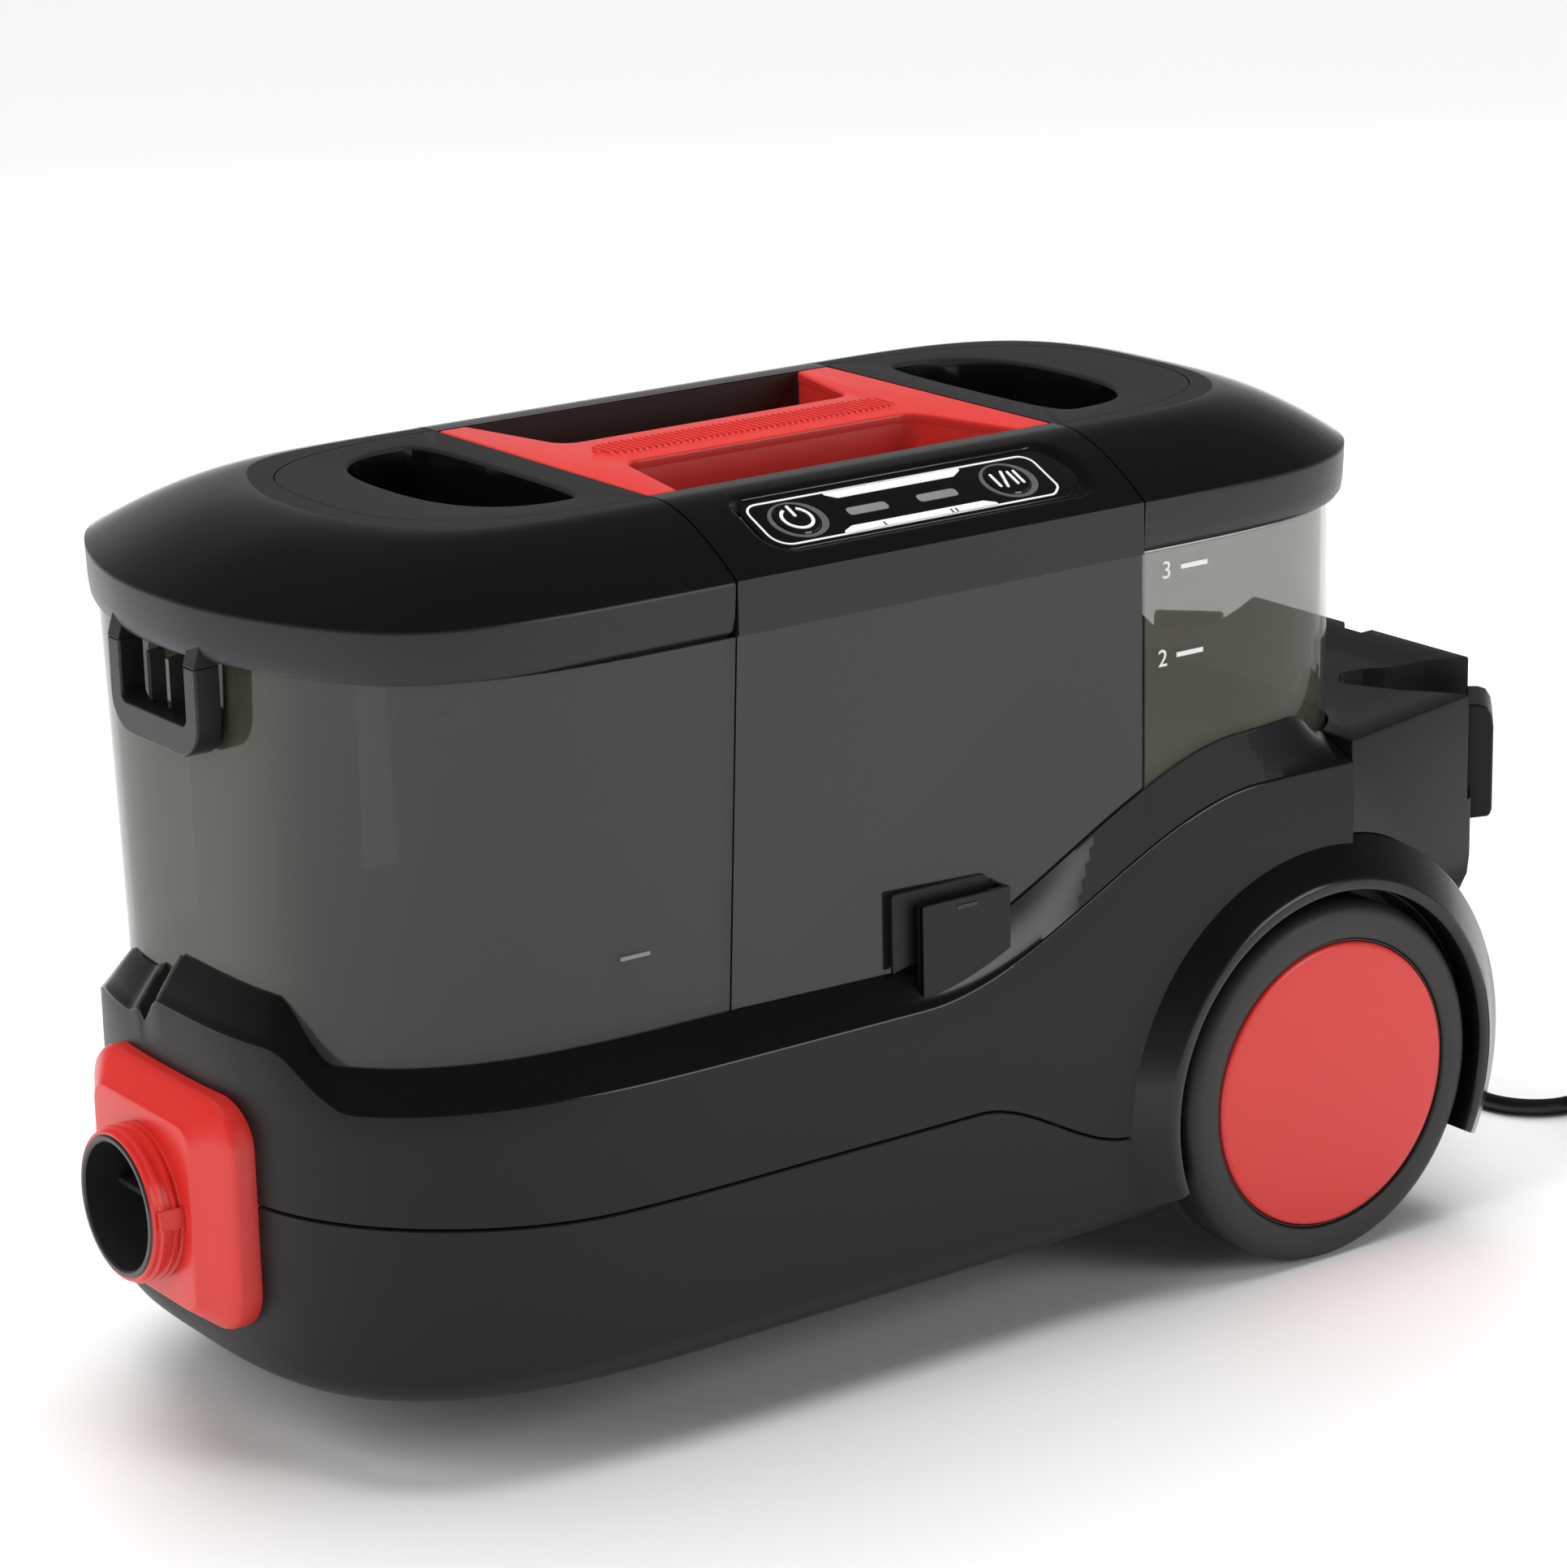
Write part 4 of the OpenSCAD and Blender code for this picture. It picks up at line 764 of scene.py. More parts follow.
def base_pan():
    row = base_row
    seam = seam_height(BASE[0][:, 0]) - 0.3
    rows = [row(24 * (1 - s), FLOOR_GAP + 18 * (1 - c)) for s, c in quarter(9)]
    rows += [row(0, FLOOR_GAP + 18 + (seam - 0.5 - FLOOR_GAP - 18) * k) for k in (0.5, 1)]
    rows += [row(0.5, seam), row(3, seam), row(3, FLOOR_GAP + 18), row(9, FLOOR_GAP + 8), row(25, FLOOR_GAP + 2.5)]
    piece = make("base_pan_shell", *chain(list(zip(*rows))), "base_satin", "root", ("base_pan",), sharp=40)
    cut(piece, *wheel_wells())
    finish_mesh(piece, 40)
    under = [point[:2] for point in row(24.5, 0)]
    plate = make("base_pan_floor", *slab(under, FLOOR_GAP, FLOOR_GAP + 2.5), "base_satin")
    slots = []
    for x0 in range(-211, -157, 8):
        slots.append(tool_solid(*box_shape((x0 - 1.5, x0 + 1.5), (-42, 42), (FLOOR_GAP - 5, FLOOR_GAP + 9))))
    slots.append(tool_solid(*slab(circle((-310, 0), 17.5, 48), FLOOR_GAP - 5, FLOOR_GAP + 9)))
    cut(plate, *wheel_wells(), *slots)


def fenders():
    for s, name in ((-1, "left"), (1, "right")):
        profile = [(79, 127), (79, 139.4), (79.5, 140.2), (80.3, 140.6), (83.2, 140.6), (84.2, 140.2),
                   (85, 139.5), (98.6, 128.9), (99.3, 128), (99.4, 127), (97, 125.5), (84, 125.5)]
        shape = spin([(r, s * y) for r, y in profile], -27, 200, 120)
        make("fender_" + name, *shape, "bevel_gloss", slot="base_satin", sharp=40)
        liner = [(6, WELL_IN - 0.4), (WELL_R + 0.8, WELL_IN - 0.4), (WELL_R + 0.8, 128.5), (WELL_R - 0.2, 128.5),
                 (WELL_R - 0.2, WELL_IN + 0.6), (6, WELL_IN + 0.6)]
        make("wheel_well_" + name, *spin([(r, s * y) for r, y in liner], -26, 206, 96), "black_matte",
             slot="base_satin")


def drum():
    edge = 127.5
    ring = [(DRUM_R - 3, -edge), (DRUM_R, -edge), (DRUM_R, edge), (DRUM_R - 3, edge)]
    split = math.degrees(math.asin((SEAM_Z - 27 - TYRE_R) / DRUM_R))
    bottom = math.degrees(math.asin((FLOOR_GAP - TYRE_R) / DRUM_R))
    make("drum_upper", *spin(ring, split + 0.2, 100, 60), "base_satin", bevel=0.4)
    floor = box_shape((RISE_BACK - 3, DRUM_R * math.cos(math.radians(bottom)) - 0.5), (-WELL_IN, WELL_IN),
                      (FLOOR_GAP, FLOOR_GAP + 2.5))
    make("drum_lower", *join_shapes(spin(ring, bottom, split - 0.2, 24), floor), "base_satin", bevel=0.4)
    gland = spans("cord_gland")
    centre = ((gland[0].y + gland[1].y) / 2, (gland[0].z + gland[1].z) / 2)
    hole = circle(centre, 6.2, 32)
    cut(bpy.data.objects["drum_lower"], tool_solid(*along_x(hole, gland[0].x - 9, 120)))


# ---- middle ----
def panel_matrix():
    middle = ((X1 + X2) / 2 + 3, -104.5 * HALF_W / 126.5, DECK - 8.5)
    return Matrix.Translation(middle) @ Matrix.Rotation(math.radians(24.4), 4, "X")


PANEL = panel_matrix()


def rounded_distance(u, v, half_u, half_v, radius):
    """Distance outside a rounded rectangle, negative inside."""
    a, b = np.abs(u) - half_u + radius, np.abs(v) - half_v + radius
    return np.hypot(np.maximum(a, 0), np.maximum(b, 0)) + np.minimum(np.maximum(a, b), 0) - radius


def shoulder_section(inset=0.0, dense=False):
    """From the deck's pad edge out and down to the band, for the +Y side."""
    angles = np.linspace(90, 0, 46 if dense else 26)
    curve = [(DECK_HW + (HALF_W - inset - DECK_HW) * out(u), BAND_HI + (DECK - BAND_HI - inset) * up(u))
             for u in angles]
    return [(72.2, DECK - inset)] + [(76, DECK - inset)] + curve


def mid_cover():
    shapes = []
    left, right = X1 + GAP, X2 - GAP
    for s in (-1, 1):
        dense = s < 0
        xs = np.linspace(left, right, 130 if dense else 3)
        section = shoulder_section(dense=dense)
        rows = []
        for y, z in section:
            row = []
            for x in xs:
                p = Vector((x, s * y, z))
                if dense:
                    p = press_panel(p)
                row.append(tuple(p))
            rows.append(row)
        shapes.append(chain(rows, closed=False))
    points, faces = join_shapes(*shapes)
    piece = make("mid_shoulders", points, faces, "shell_gloss", "root", ("deck_cover",), sharp=40)
    builder = bmesh.new()
    builder.from_mesh(piece.data)
    for face in builder.faces:
        if face.normal.z < 0:
            face.normal_flip()
    builder.to_mesh(piece.data)
    builder.free()
    solidify(piece, 2.2)
    finish_mesh(piece, 40)
    end = [(-y, z) for y, z in shoulder_section(2.3)[::-1]] + [(-72, DECK - 4.2), (72, DECK - 4.2)] \
        + shoulder_section(2.3) + [(HALF_W - 2.4, BAND_HI - 4), (-HALF_W + 2.4, BAND_HI - 4)]
    walls = [along_x(end, x, x + 2) for x in (left + 0.1, right - 2.1)]
    make("mid_end_walls", *join_shapes(*walls), "shell_gloss")
    pit = (X1 + 13, X2 - 16)
    outer = [(pit[0] - 2, -73.8), (pit[1] + 2, -73.8), (pit[1] + 2, 73.8), (pit[0] - 2, 73.8)]
    inner = [(pit[0], -71.9), (pit[1], -71.9), (pit[1], 71.9), (pit[0], 71.9)]
    outer, inner = rounded(outer, 3), rounded(inner, 2)
    make("handle_trough", *chain([at(inner, DECK - 50), at(inner, DECK - 0.6), at(outer, DECK - 0.6),
                                  at(outer, DECK - 52)]), "black_matte", slot="shell_gloss")


def press_panel(point):
    """Sinks the control panel's recess into the near shoulder, with a soft rim."""
    local = PANEL.inverted() @ point
    if abs(local.z) > 6:
        return point
    outside = rounded_distance(local.x, local.y, 76, 17.6, 9 if local.x * local.y < 0 else 14)
    depth = 1 - smooth((outside + 3.2) / 3.4)
    local.z = local.z + (min(-2.4, local.z) - local.z) * float(depth)
    return PANEL @ local


def handle():
    left, right = X1 + GAP, X2 - GAP
    pad = 71.8
    grip = 20

    def outline(x0, x1, edge):
        pit_l, pit_r = X1 + 13.5, X2 - 16
        return rounded([
            (x0, -edge), (pit_l, -edge), (pit_l + 11, -grip), (pit_r - 12, -grip), (pit_r, -edge), (x1, -edge),
            (x1, edge), (pit_r, edge), (pit_r - 12, grip), (pit_l + 11, grip), (pit_l, edge), (x0, edge)],
            [1.6, 2.2, 9, 9, 2.2, 1.6, 1.6, 2.2, 9, 9, 2.2, 1.6], 8)

    top = pillow(outline(left + 0.2, right - 0.2, pad), DECK - 3.8, DECK, 1.3, count=5)
    deep = pillow(grow(outline(X1 + 10.5, X2 - 12.5, pad - 0.2), -0.15), DECK - 30, DECK - 2, 0.4)
    make("carry_handle_grip", *join_shapes(top, deep), "red_gloss", "root", ("carry_handle",), sharp=30)
    start, end, half, pitch, height = -246, -109, 9, 2.8, 1.0
    ribs = []
    for x in np.arange(start, end, pitch):
        reach = half * math.sqrt(max(0.05, 1 - max(0, (start + half - x) / half, (x - end + half) / half) ** 2))
        bar = [(x - 0.8, -reach), (x + 0.8, -reach), (x + 0.8, reach), (x - 0.8, reach)]
        crest = [(x - 0.4, -reach + 0.5), (x + 0.4, -reach + 0.5), (x + 0.4, reach - 0.5), (x - 0.4, reach - 0.5)]
        ribs.append(chain([at(bar, DECK - 0.3), at(bar, DECK + 0.1), at(crest, DECK + height)]))
    make("grip_ribs", *join_shapes(*ribs), "red_gloss")


def flat_art(name, outline, level, look, body="root", thick=0.25, slot=None):
    return make(name, *pillow(outline, level, level + thick, 0.08, count=3), look, body, slot=slot, matrix=PANEL)


def ring_art(name, outer, inner, level, look, body="root", thick=0.25, slot=None):
    loops = [at(outer, level), at(outer, level + thick), at(inner, level + thick), at(inner, level)]
    return make(name, *chain(loops, ring=True), look, body, slot=slot, matrix=PANEL)


def panel():
    face = -1.4
    plate = rounded([(-72.6, -15), (62, -15), (72.6, -6), (72.6, 14.4), (-72.6, 14.4)], [9, 8, 6, 7, 7], 8)
    make("panel_face", *pillow(plate, -3.6, face, 0.5), "shell_gloss", "root", ("panel_plate",), matrix=PANEL)
    line = rounded([(-70.2, -13.2), (56, -13.2), (61, -9), (61, 12.6), (-70.2, 12.6)], [8, 5, 5, 6, 6], 8)
    ring_art("panel_outline", line, grow(line, -0.9), face - 0.1, "white_plastic")
    upper = [(-37, 12.4), (-30, 7.6), (23, 7.6), (31, 12.4)]
    lower = [(-44, -13), (-35, -8.8), (25, -8.8), (34, -13)]
    flat_art("panel_band_top", rounded(upper, 1.2), face - 0.1, "white_plastic")
    flat_art("panel_band_low", rounded(lower, 1.2), face - 0.1, "white_plastic")
    for name, x in (("mark_one", -21.5), ("mark_two_a", 9.0), ("mark_two_b", 11.2)):
        bar = [(x - 0.35, -12.2), (x + 0.35, -12.2), (x + 0.35, -10), (x - 0.35, -10)]
        flat_art(name, bar, face + 0.1, "black_matte", thick=0.15)
    for name, x in (("lamp_left", -22.5), ("lamp_right", 9.3)):
        lens = rounded([(x - 9, -3.2), (x + 9, -3.2), (x + 9, 1.2), (x - 9, 1.2)], 1.6, 5)
        flat_art(name, lens, face - 0.4, "lens_grey", thick=0.6, slot="clear_frost")
        if name == "lamp_left":
            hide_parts("indicator_lenses")
    buttons = {"power": (-53.5, 0.0), "mode": (42.5, 0.0)}
    for name, (x, y) in buttons.items():
        loops = [at(circle((x, y), r, 64), z) for r, z in ((8.9, -7), (8.9, -1.1), (8.5, -0.6), (7.8, -0.55),
                                                           (4, -0.75), (1, -0.8))]
        make(name + "_key", *chain(loops), "shell_gloss", name + "_button", (name + "_button",), matrix=PANEL)
        crescent = [(x + 0.5 + 11.8 * u, y - 0.3 + 10.6 * v) for u, v in circle((0, 0), 1, 64)]
        ring_art(name + "_bezel", crescent, circle((x, y), 9.4, 64), face - 0.1, "ring_grey", thick=0.35,
                 slot="white_plastic")
    symbol_power(buttons["power"])
    symbol_mode(buttons["mode"])


def stroke(a, b, half):
    """A bar with round ends."""
    a, b = np.array(a, float), np.array(b, float)
    angle = math.degrees(math.atan2(*(b - a)[::-1]))
    return arc_points(tuple(b), half, angle - 90, angle + 90, 9) + arc_points(tuple(a), half, angle + 90,
                                                                              angle + 270, 9)


def symbol_power(centre):
    x, y = centre
    outer = arc_points(centre, 6.6, 118, 422, 48)
    inner = arc_points(centre, 5.3, 422, 118, 48)
    make("power_mark_ring", *slab(outer + inner, -0.62, -0.38), "white_plastic", "power_button", matrix=PANEL)
    flat_art("power_mark_bar", stroke((x, y + 1.5), (x, y + 7.0), 0.65), -0.62, "white_plastic", "power_button")


def symbol_mode(centre):
    x, y = centre
    bars = {"mode_mark_a": ((-5.6, -3.6), (-5.6, 3.6)), "mode_mark_slash": ((-2.8, -4.4), (-0.2, 4.4)),
            "mode_mark_b": ((2.4, -3.6), (2.4, 3.6)), "mode_mark_c": ((5.2, -3.6), (5.2, 3.6))}
    for name, (a, b) in bars.items():
        shape = stroke((x + a[0], y + a[1]), (x + b[0], y + b[1]), 0.6)
        flat_art(name, shape, -0.66, "white_plastic", "mode_button", thick=0.28)


# ---- front: hose port and latch ----
def hose_port():
    def square(x, half, lo, hi, radius):
        pts = rounded([(-half, lo), (half, lo), (half, hi), (-half, hi)], radius, 9)
        return [(x, y, z) for y, z in pts]

    back, front = BASE_TIP + 8, BASE_TIP - 14.5
    rim = (52, 53.5, 142, 17)  # half width, foot, head and corner radius of the plate
    loops = [square(back, *rim), square(BASE_TIP - 3.5, *rim),
             square(BASE_TIP - 5, 51.6, 53.9, 141.6, 17), square(BASE_TIP - 6.2, 50.6, 54.8, 140.6, 16)]
    for k in (0.25, 0.5, 0.75, 0.93, 1):
        mix = [a + (b - a) * k for a, b in ((50.6, 35.5), (54.8, 60.5), (140.6, 131.5), (16, 8))]
        x = BASE_TIP - 6.2 + (front + 0.4 - BASE_TIP + 6.2) * k + (0.0 if k < 1 else -0.2)
        loops.append(square(x, *mix))
    loops.append(square(front, 34.6, 61.4, 130.6, 7.4))
    piece = make("port_bezel", *chain(loops), "red_gloss", "root", ("hose_bezel",), sharp=28, bevel=0.5)
    cut(piece, tool_solid(*along_x(circle((0, PORT_Z), 26, 96), PORT_TIP - 5, BASE_TIP + 40)))
    tip, face = PORT_TIP + 0.8, front
    thread = [(26.4, tip), (27.6, tip), (28.2, tip + 0.7), (28.2, tip + 2.2), (29.4, tip + 2.9), (29.4, tip + 4.1),
              (28.2, tip + 4.8), (28.2, tip + 7), (29.4, tip + 7.7), (29.4, tip + 8.9), (28.2, tip + 9.6),
              (28.2, face - 1.2), (29.4, face - 0.2), (29.4, face + 1), (26.4, face + 1)]
    collar = spin_x(thread, 0, PORT_Z, count=128)
    block = arc_points((-0.5, PORT_Z), 30.2, 168, 182, 5) + arc_points((-0.5, PORT_Z), 27.5, 182, 168, 5)
    stop = along_x(block, tip + 1.5, face - 0.2)
    make("port_collar", *join_shapes(collar, stop), "red_gloss", "root", ("hose_collar",), sharp=30)
    inner = spans("hose_socket")[1].x
    wall = [(PORT_R, PORT_TIP + 0.7), (PORT_R + 0.7, PORT_TIP), (PORT_R + 2.1, PORT_TIP),
            (PORT_R + 2.7, PORT_TIP + 0.7), (PORT_R + 2.7, PORT_TIP + 1.3), (PORT_R + 2.3, PORT_TIP + 1.8),
            (PORT_R + 2.3, inner), (0.5, inner), (0.5, inner - 3.5), (PORT_R, inner - 3.5)]
    tube = spin_x(wall, 0, PORT_Z)
    rib = box_shape((PORT_TIP + 12, inner - 4), (-1.2, 1.2), (PORT_Z - PORT_R - 0.5, PORT_Z - PORT_R + 3))
    shelf = box_shape((PORT_TIP + 14, inner - 4), (-PORT_R - 0.4, PORT_R + 0.4), (PORT_Z - 1, PORT_Z + 1))
    holes = []
    for y in (-7, 8):
        holes.append(spin_x([(3.2, inner - 12), (5, inner - 12), (5, inner - 3), (3.2, inner - 3)], y, PORT_Z - 11,
                            count=32))
    make("port_socket", *join_shapes(tube, rib, shelf, *holes), "socket_black", "root", ("hose_socket",),
         "black_matte", sharp=40)


def latch():
    low, high = spans("lid_latch")
    x0, x1 = low.x, high.x
    half, base, top = high.y, low.z, high.z
    arm = 8.5
    neck = top - 19
    outline = rounded([(-half, base), (half, base), (half, neck), (half - arm, neck),
                       (half - arm, base + 12), (-half + arm, base + 12), (-half + arm, neck), (-half, neck)],
                      [14, 14, 0, 0, 3, 3, 0, 0], 8)
    depth = [(x1 + 3.5, 0), (x0 + 0.6, 0), (x0, 0.6)]
    loops = [[(x, y, z) for y, z in grow(outline, -inset)] for x, inset in depth]
    tips = []
    for s in (-1, 1):
        side = sorted((s * half, s * (half - arm)))
        foot, crest = neck - 0.05, top + 1.5
        profile = [(x1 + 3.5, foot), (x0, foot), (x1 - 0.5, crest - 1.5), (x1 + 3.2, crest)]
        tips.append(upright(profile, *side))
    make("latch_bracket", *join_shapes(chain(loops), *tips), "band_satin", "lid_latch", ("lid_latch",), "black_matte",
         sharp=30, bevel=0.5)


# ---- wheels ----
def wheels():
    for s, name in ((-1, "left"), (1, "right")):
        o, i = WHEEL_OUT, WHEEL_IN
        tread = [(TYRE_R - 7 + 7 * math.sin(a), o - 7 + 7 * math.cos(a)) for a in np.radians(np.linspace(8, 90, 10))]
        inner = [(TYRE_R - 5 + 5 * math.sin(a), i + 5 + 5 * math.cos(a)) for a in np.radians(np.linspace(90, 180, 8))]
        tyre = [(CAP_R + 1.3, o - 1.2), (CAP_R + 1.6, o - 0.4), (CAP_R + 2.6, o)] + tread + inner \
            + [(CAP_R + 3, i), (CAP_R + 3, o - 3)]
        make("tyre_ring_" + name, *spin([(r, s * y) for r, y in tyre], count=160), "tyre_black", "wheel_" + name,
             ("tyre_" + name,), sharp=50)
        ring = [(CAP_R + 0.2, o - 3), (CAP_R + 0.2, o - 1.6), (CAP_R + 0.5, o - 1.3), (CAP_R + 0.9, o - 1.3),
                (CAP_R + 1.2, o - 1.6), (CAP_R + 1.2, o - 3)]
        web = [(5.2, i + 1), (12, i + 1), (12, i + 6), (CAP_R - 2, i + 6), (CAP_R - 2, i + 2), (CAP_R + 3, i + 2),
               (CAP_R + 3, o - 3), (CAP_R - 2, o - 3), (CAP_R - 2, i + 9), (12, i + 9), (12, o - 8), (5.2, o - 8)]
        make("rim_" + name, *join_shapes(spin([(r, s * y) for r, y in ring], count=160),
                                         spin([(r, s * y) for r, y in web], count=96)),
             "black_matte", "wheel_" + name, ("wheel_" + name,), sharp=40)
        dome = [(0.05, o - 3), (0.05, o + 1.6)] \
            + [(CAP_R * k, o + 1.6 - 1.5 * k * k) for k in np.linspace(0.1, 0.96, 12)] \
            + [(CAP_R - 1.0, o - 0.1), (CAP_R - 0.3, o - 0.6), (CAP_R, o - 1.4), (CAP_R, o - 3)]
        make("hub_disc_" + name, *spin([(r, s * y) for r, y in dome], count=160), "red_gloss", "wheel_" + name,
             ("hubcap_" + name,), sharp=50)


# ---- caddy and clip ----
def caddy():
    corner_x, corner_y = CADDY_BACK - 39, 110 * BASE_HW / 131
    corners = [(CADDY_FRONT, -BASE_HW + 1.4), (corner_x, -corner_y), (CADDY_BACK, -68), (CADDY_BACK, 68),
               (corner_x, corner_y), (CADDY_FRONT, BASE_HW - 1.4)]

    def plan(inset):
        return rounded(grow(corners, -inset), [0.5, 2.5, 5, 5, 2.5, 0.5], 6)

    low, high = spans("rear_caddy")
    bottom, top = low.z, high.z
    loops = [at(plan(20), bottom - 8), at(plan(12), bottom), at(plan(4), bottom + 8),
             at(plan(0.8), bottom + 16), at(plan(0), bottom + 24), at(plan(0), top - 1.2),
             at(plan(0.35), top - 0.35), at(plan(1.2), top), at(plan(14), top - 0.6), at(plan(30), top - 2.2)]
    piece = make("caddy_body", *chain(loops), "base_satin", "root", ("rear_caddy",), sharp=30, bevel=0.0)
    tools = [tool_solid(*upright(circle((0, TYRE_R), DRUM_R + 0.8, 160), -200, 200))]
    well = lid_plan(X2 + GAP, REAR_LEN - 12 - GAP + 1.2, HALF_W + 0.4, 3.4, 1)
    tools.append(tool_solid(*slab(well, REAR_DECK, 300)))
    for s in (-1, 1):
        slot = rounded([(75, -57), (86, -46), (97, -47), (106, -52), (122, -58), (CADDY_BACK + 12, -73),
                        (CADDY_BACK + 12, -135), (98, -112), (91, -94), (86, -80)],
                       [7, 7, 6, 8, 6, 1, 1, 2, 12, 6], 6)
        slot = [(x, -s * y) for x, y in slot]
        tools.append(tool_solid(*slab(slot, 166, 300)))
    tools.append(tool_solid(*box_shape((CADDY_BACK - 7, CADDY_BACK + 5), (-9, 9), (top - 11, 300))))
    cut(piece, *tools)
    finish_mesh(piece, 30, 0.7, 2)
    for s in (-1, 1):
        p, q = np.array([corner_x, -corner_y]), np.array([CADDY_BACK, -68.0])
        along = (q - p) / np.linalg.norm(q - p)
        away = np.array([along[1], -along[0]])
        middle = (p + q) / 2
        loops = []
        profile = [(153, 1.0), (154, 8.0), (157, 9), (192, 9), (197, 8.2), (200.5, 6), (201.5, 3), (201.5, -2),
                   (153, -2)]
        for side in (-15, 15):
            loops.append([(*(middle + along * side + away * d), z) for z, d in profile])
        points, faces = chain(loops)
        points = [(x, s * -y, z) for x, y, z in points]
        make("caddy_hook_" + ("left" if s < 0 else "right"), points, faces, "base_satin", bevel=1.2, sharp=40)


def clip():
    top = 184.8
    front, back = -128.2, -122.6
    xs = (-193.5, -152.5)

    def bottom(x):
        share = (BASE_HW + front) / (BASE_HW - ledge_inner(np.array([x]))[0])
        low, high = float(outer_height(np.array([x]), np.array([-130.0]))[0]), float(
            inner_height(np.array([x]), np.array([-130.0]))[0])
        return low + (high - low) * share - 0.4

    columns = np.linspace(*xs, 14)
    plate = [(x, bottom(x)) for x in columns] + [(xs[1], top), (xs[0], top)]
    back_plate = rounded([(xs[0] - 10, LEDGE_Z + 1), (xs[1] - 4, LEDGE_Z + 12), (xs[1] - 6, top + 5),
                          (xs[0] - 10, top + 5)], [0.3, 0.3, 4, 1])
    shapes = [upright(plate, front, front + 2), upright(back_plate, back, back + 1.6),
              box_shape((xs[1] - 2, xs[1]), (front + 0.5, back + 1), (bottom(xs[1]) + 0.5, top)),
              box_shape((xs[0], xs[0] + 2), (front + 0.5, front + 4), (bottom(xs[0]) + 0.5, top))]
    make("side_clip", *join_shapes(*shapes), "base_satin", "root", ("accessory_clip",), bevel=0.35)
    slot = stroke((-177, 181.4), (-169, 181.4), 1.1)
    make("clip_slot", *chain([[(x, front - 0.35, z) for x, z in grow(slot, -0.3)],
                              [(x, front, z) for x, z in slot], [(x, front + 1, z) for x, z in slot]]),
         "black_matte", slot="base_satin")


# ---- marks on the tanks ----
def marks():
    outer = -HALF_W + 0.6
    for name, x, z in (("mark_three", -68, 293), ("mark_two", -70, 259)):
        make(name + "_line", *box_shape((x, x + 13), (outer - 0.25, outer + 0.2), (z - 0.9, z + 0.9)),
             "white_plastic", "rear_tank")
    digits = {"3": (-77.4, 289.6), "2": (-79.2, 255.6)}
    for digit, (x, z) in digits.items():
        curve = bpy.data.curves.new("digit", "FONT")
        curve.body = digit
        curve.size = 9.5 * MM
        curve.extrude = 0.15 * MM
        text = link("digit", curve)
        text.matrix_world = Matrix.Translation(world((x, outer - 0.1, z))) @ Matrix.Rotation(math.pi / 2, 4, "X")
        bpy.context.view_layer.update()
        mesh = bpy.data.meshes.new_from_object(text.evaluated_get(bpy.context.evaluated_depsgraph_get()))
        mesh.transform(text.matrix_world)
        bpy.data.objects.remove(text)
        piece = link("level_digit_" + digit, mesh)
        mesh.materials.clear()
        mesh.materials.append(M["white_plastic"])
        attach(piece, "rear_tank")
    z = 189
    edge = -np.array(tank_between(-0.15, z))[:, 1].max()
    make("max_line", *box_shape((-320, -307.5), (edge, edge + 1.2), (z - 0.7, z + 0.7)), "lens_grey",
         "front_tank", slot="clear_frost")


# ---- cord ----
CORD_D = 7
LOW_Z = 3.6  # the cord's centre when it lies on the floor
CORD_ROUTE = [(134, 30, 60), (147, 28, 57), (157, 20, 51), (164, 10, 41), (167, -3, 31), (167, -16, 20),
         (167, -29, 11), (167, -41, 5.6), (167, -52, LOW_Z), (169, -63, LOW_Z), (175, -72, LOW_Z), (184, -78, LOW_Z),
         (195, -80, LOW_Z), (209, -80, LOW_Z), (223, -80, LOW_Z)]
COIL_AT = (242, -127)
COIL_MEAN = 40
COIL_LEVELS = 7
LAST_TURN = 32


def coil_path(per_turn=24):
    """Turns from the route's end, winding in and out level by level."""
    points = []
    angle = math.pi / 2
    radii = [COIL_MEAN + CORD_D, COIL_MEAN, COIL_MEAN - CORD_D]
    for level in range(COIL_LEVELS):
        order = radii if level % 2 == 0 else radii[::-1]
        turns = 2 if level == COIL_LEVELS - 1 else 3
        for turn in range(turns):
            radius = order[turn]
            ahead = order[turn + 1] if turn < 2 else radius
            last = turn == 2
            for step in range(per_turn):
                share = step / per_turn
                slide = float(smooth((share - 0.8) / 0.2))
                r = radius + (ahead - radius) * slide
                height = LOW_Z + level * CORD_D + (CORD_D * slide if last else 0)
                points.append((COIL_AT[0] + r * math.cos(angle), COIL_AT[1] + r * math.sin(angle), height))
                angle -= 2 * math.pi / per_turn
    return points


def spline_points(points, per=4):
    """A smooth curve through the points (Catmull-Rom)."""
    pts = [np.array(p, float) for p in points]
    pts = [2 * pts[0] - pts[1]] + pts + [2 * pts[-1] - pts[-2]]
    made = []
    for a, b, c, d in zip(pts, pts[1:], pts[2:], pts[3:]):
        for t in np.linspace(0, 1, per, endpoint=False):
            made.append(0.5 * (2 * b + (c - a) * t + (2 * a - 5 * b + 4 * c - d) * t * t
                               + (3 * b - a - 3 * c + d) * t ** 3))
    made.append(pts[-2])
    return made


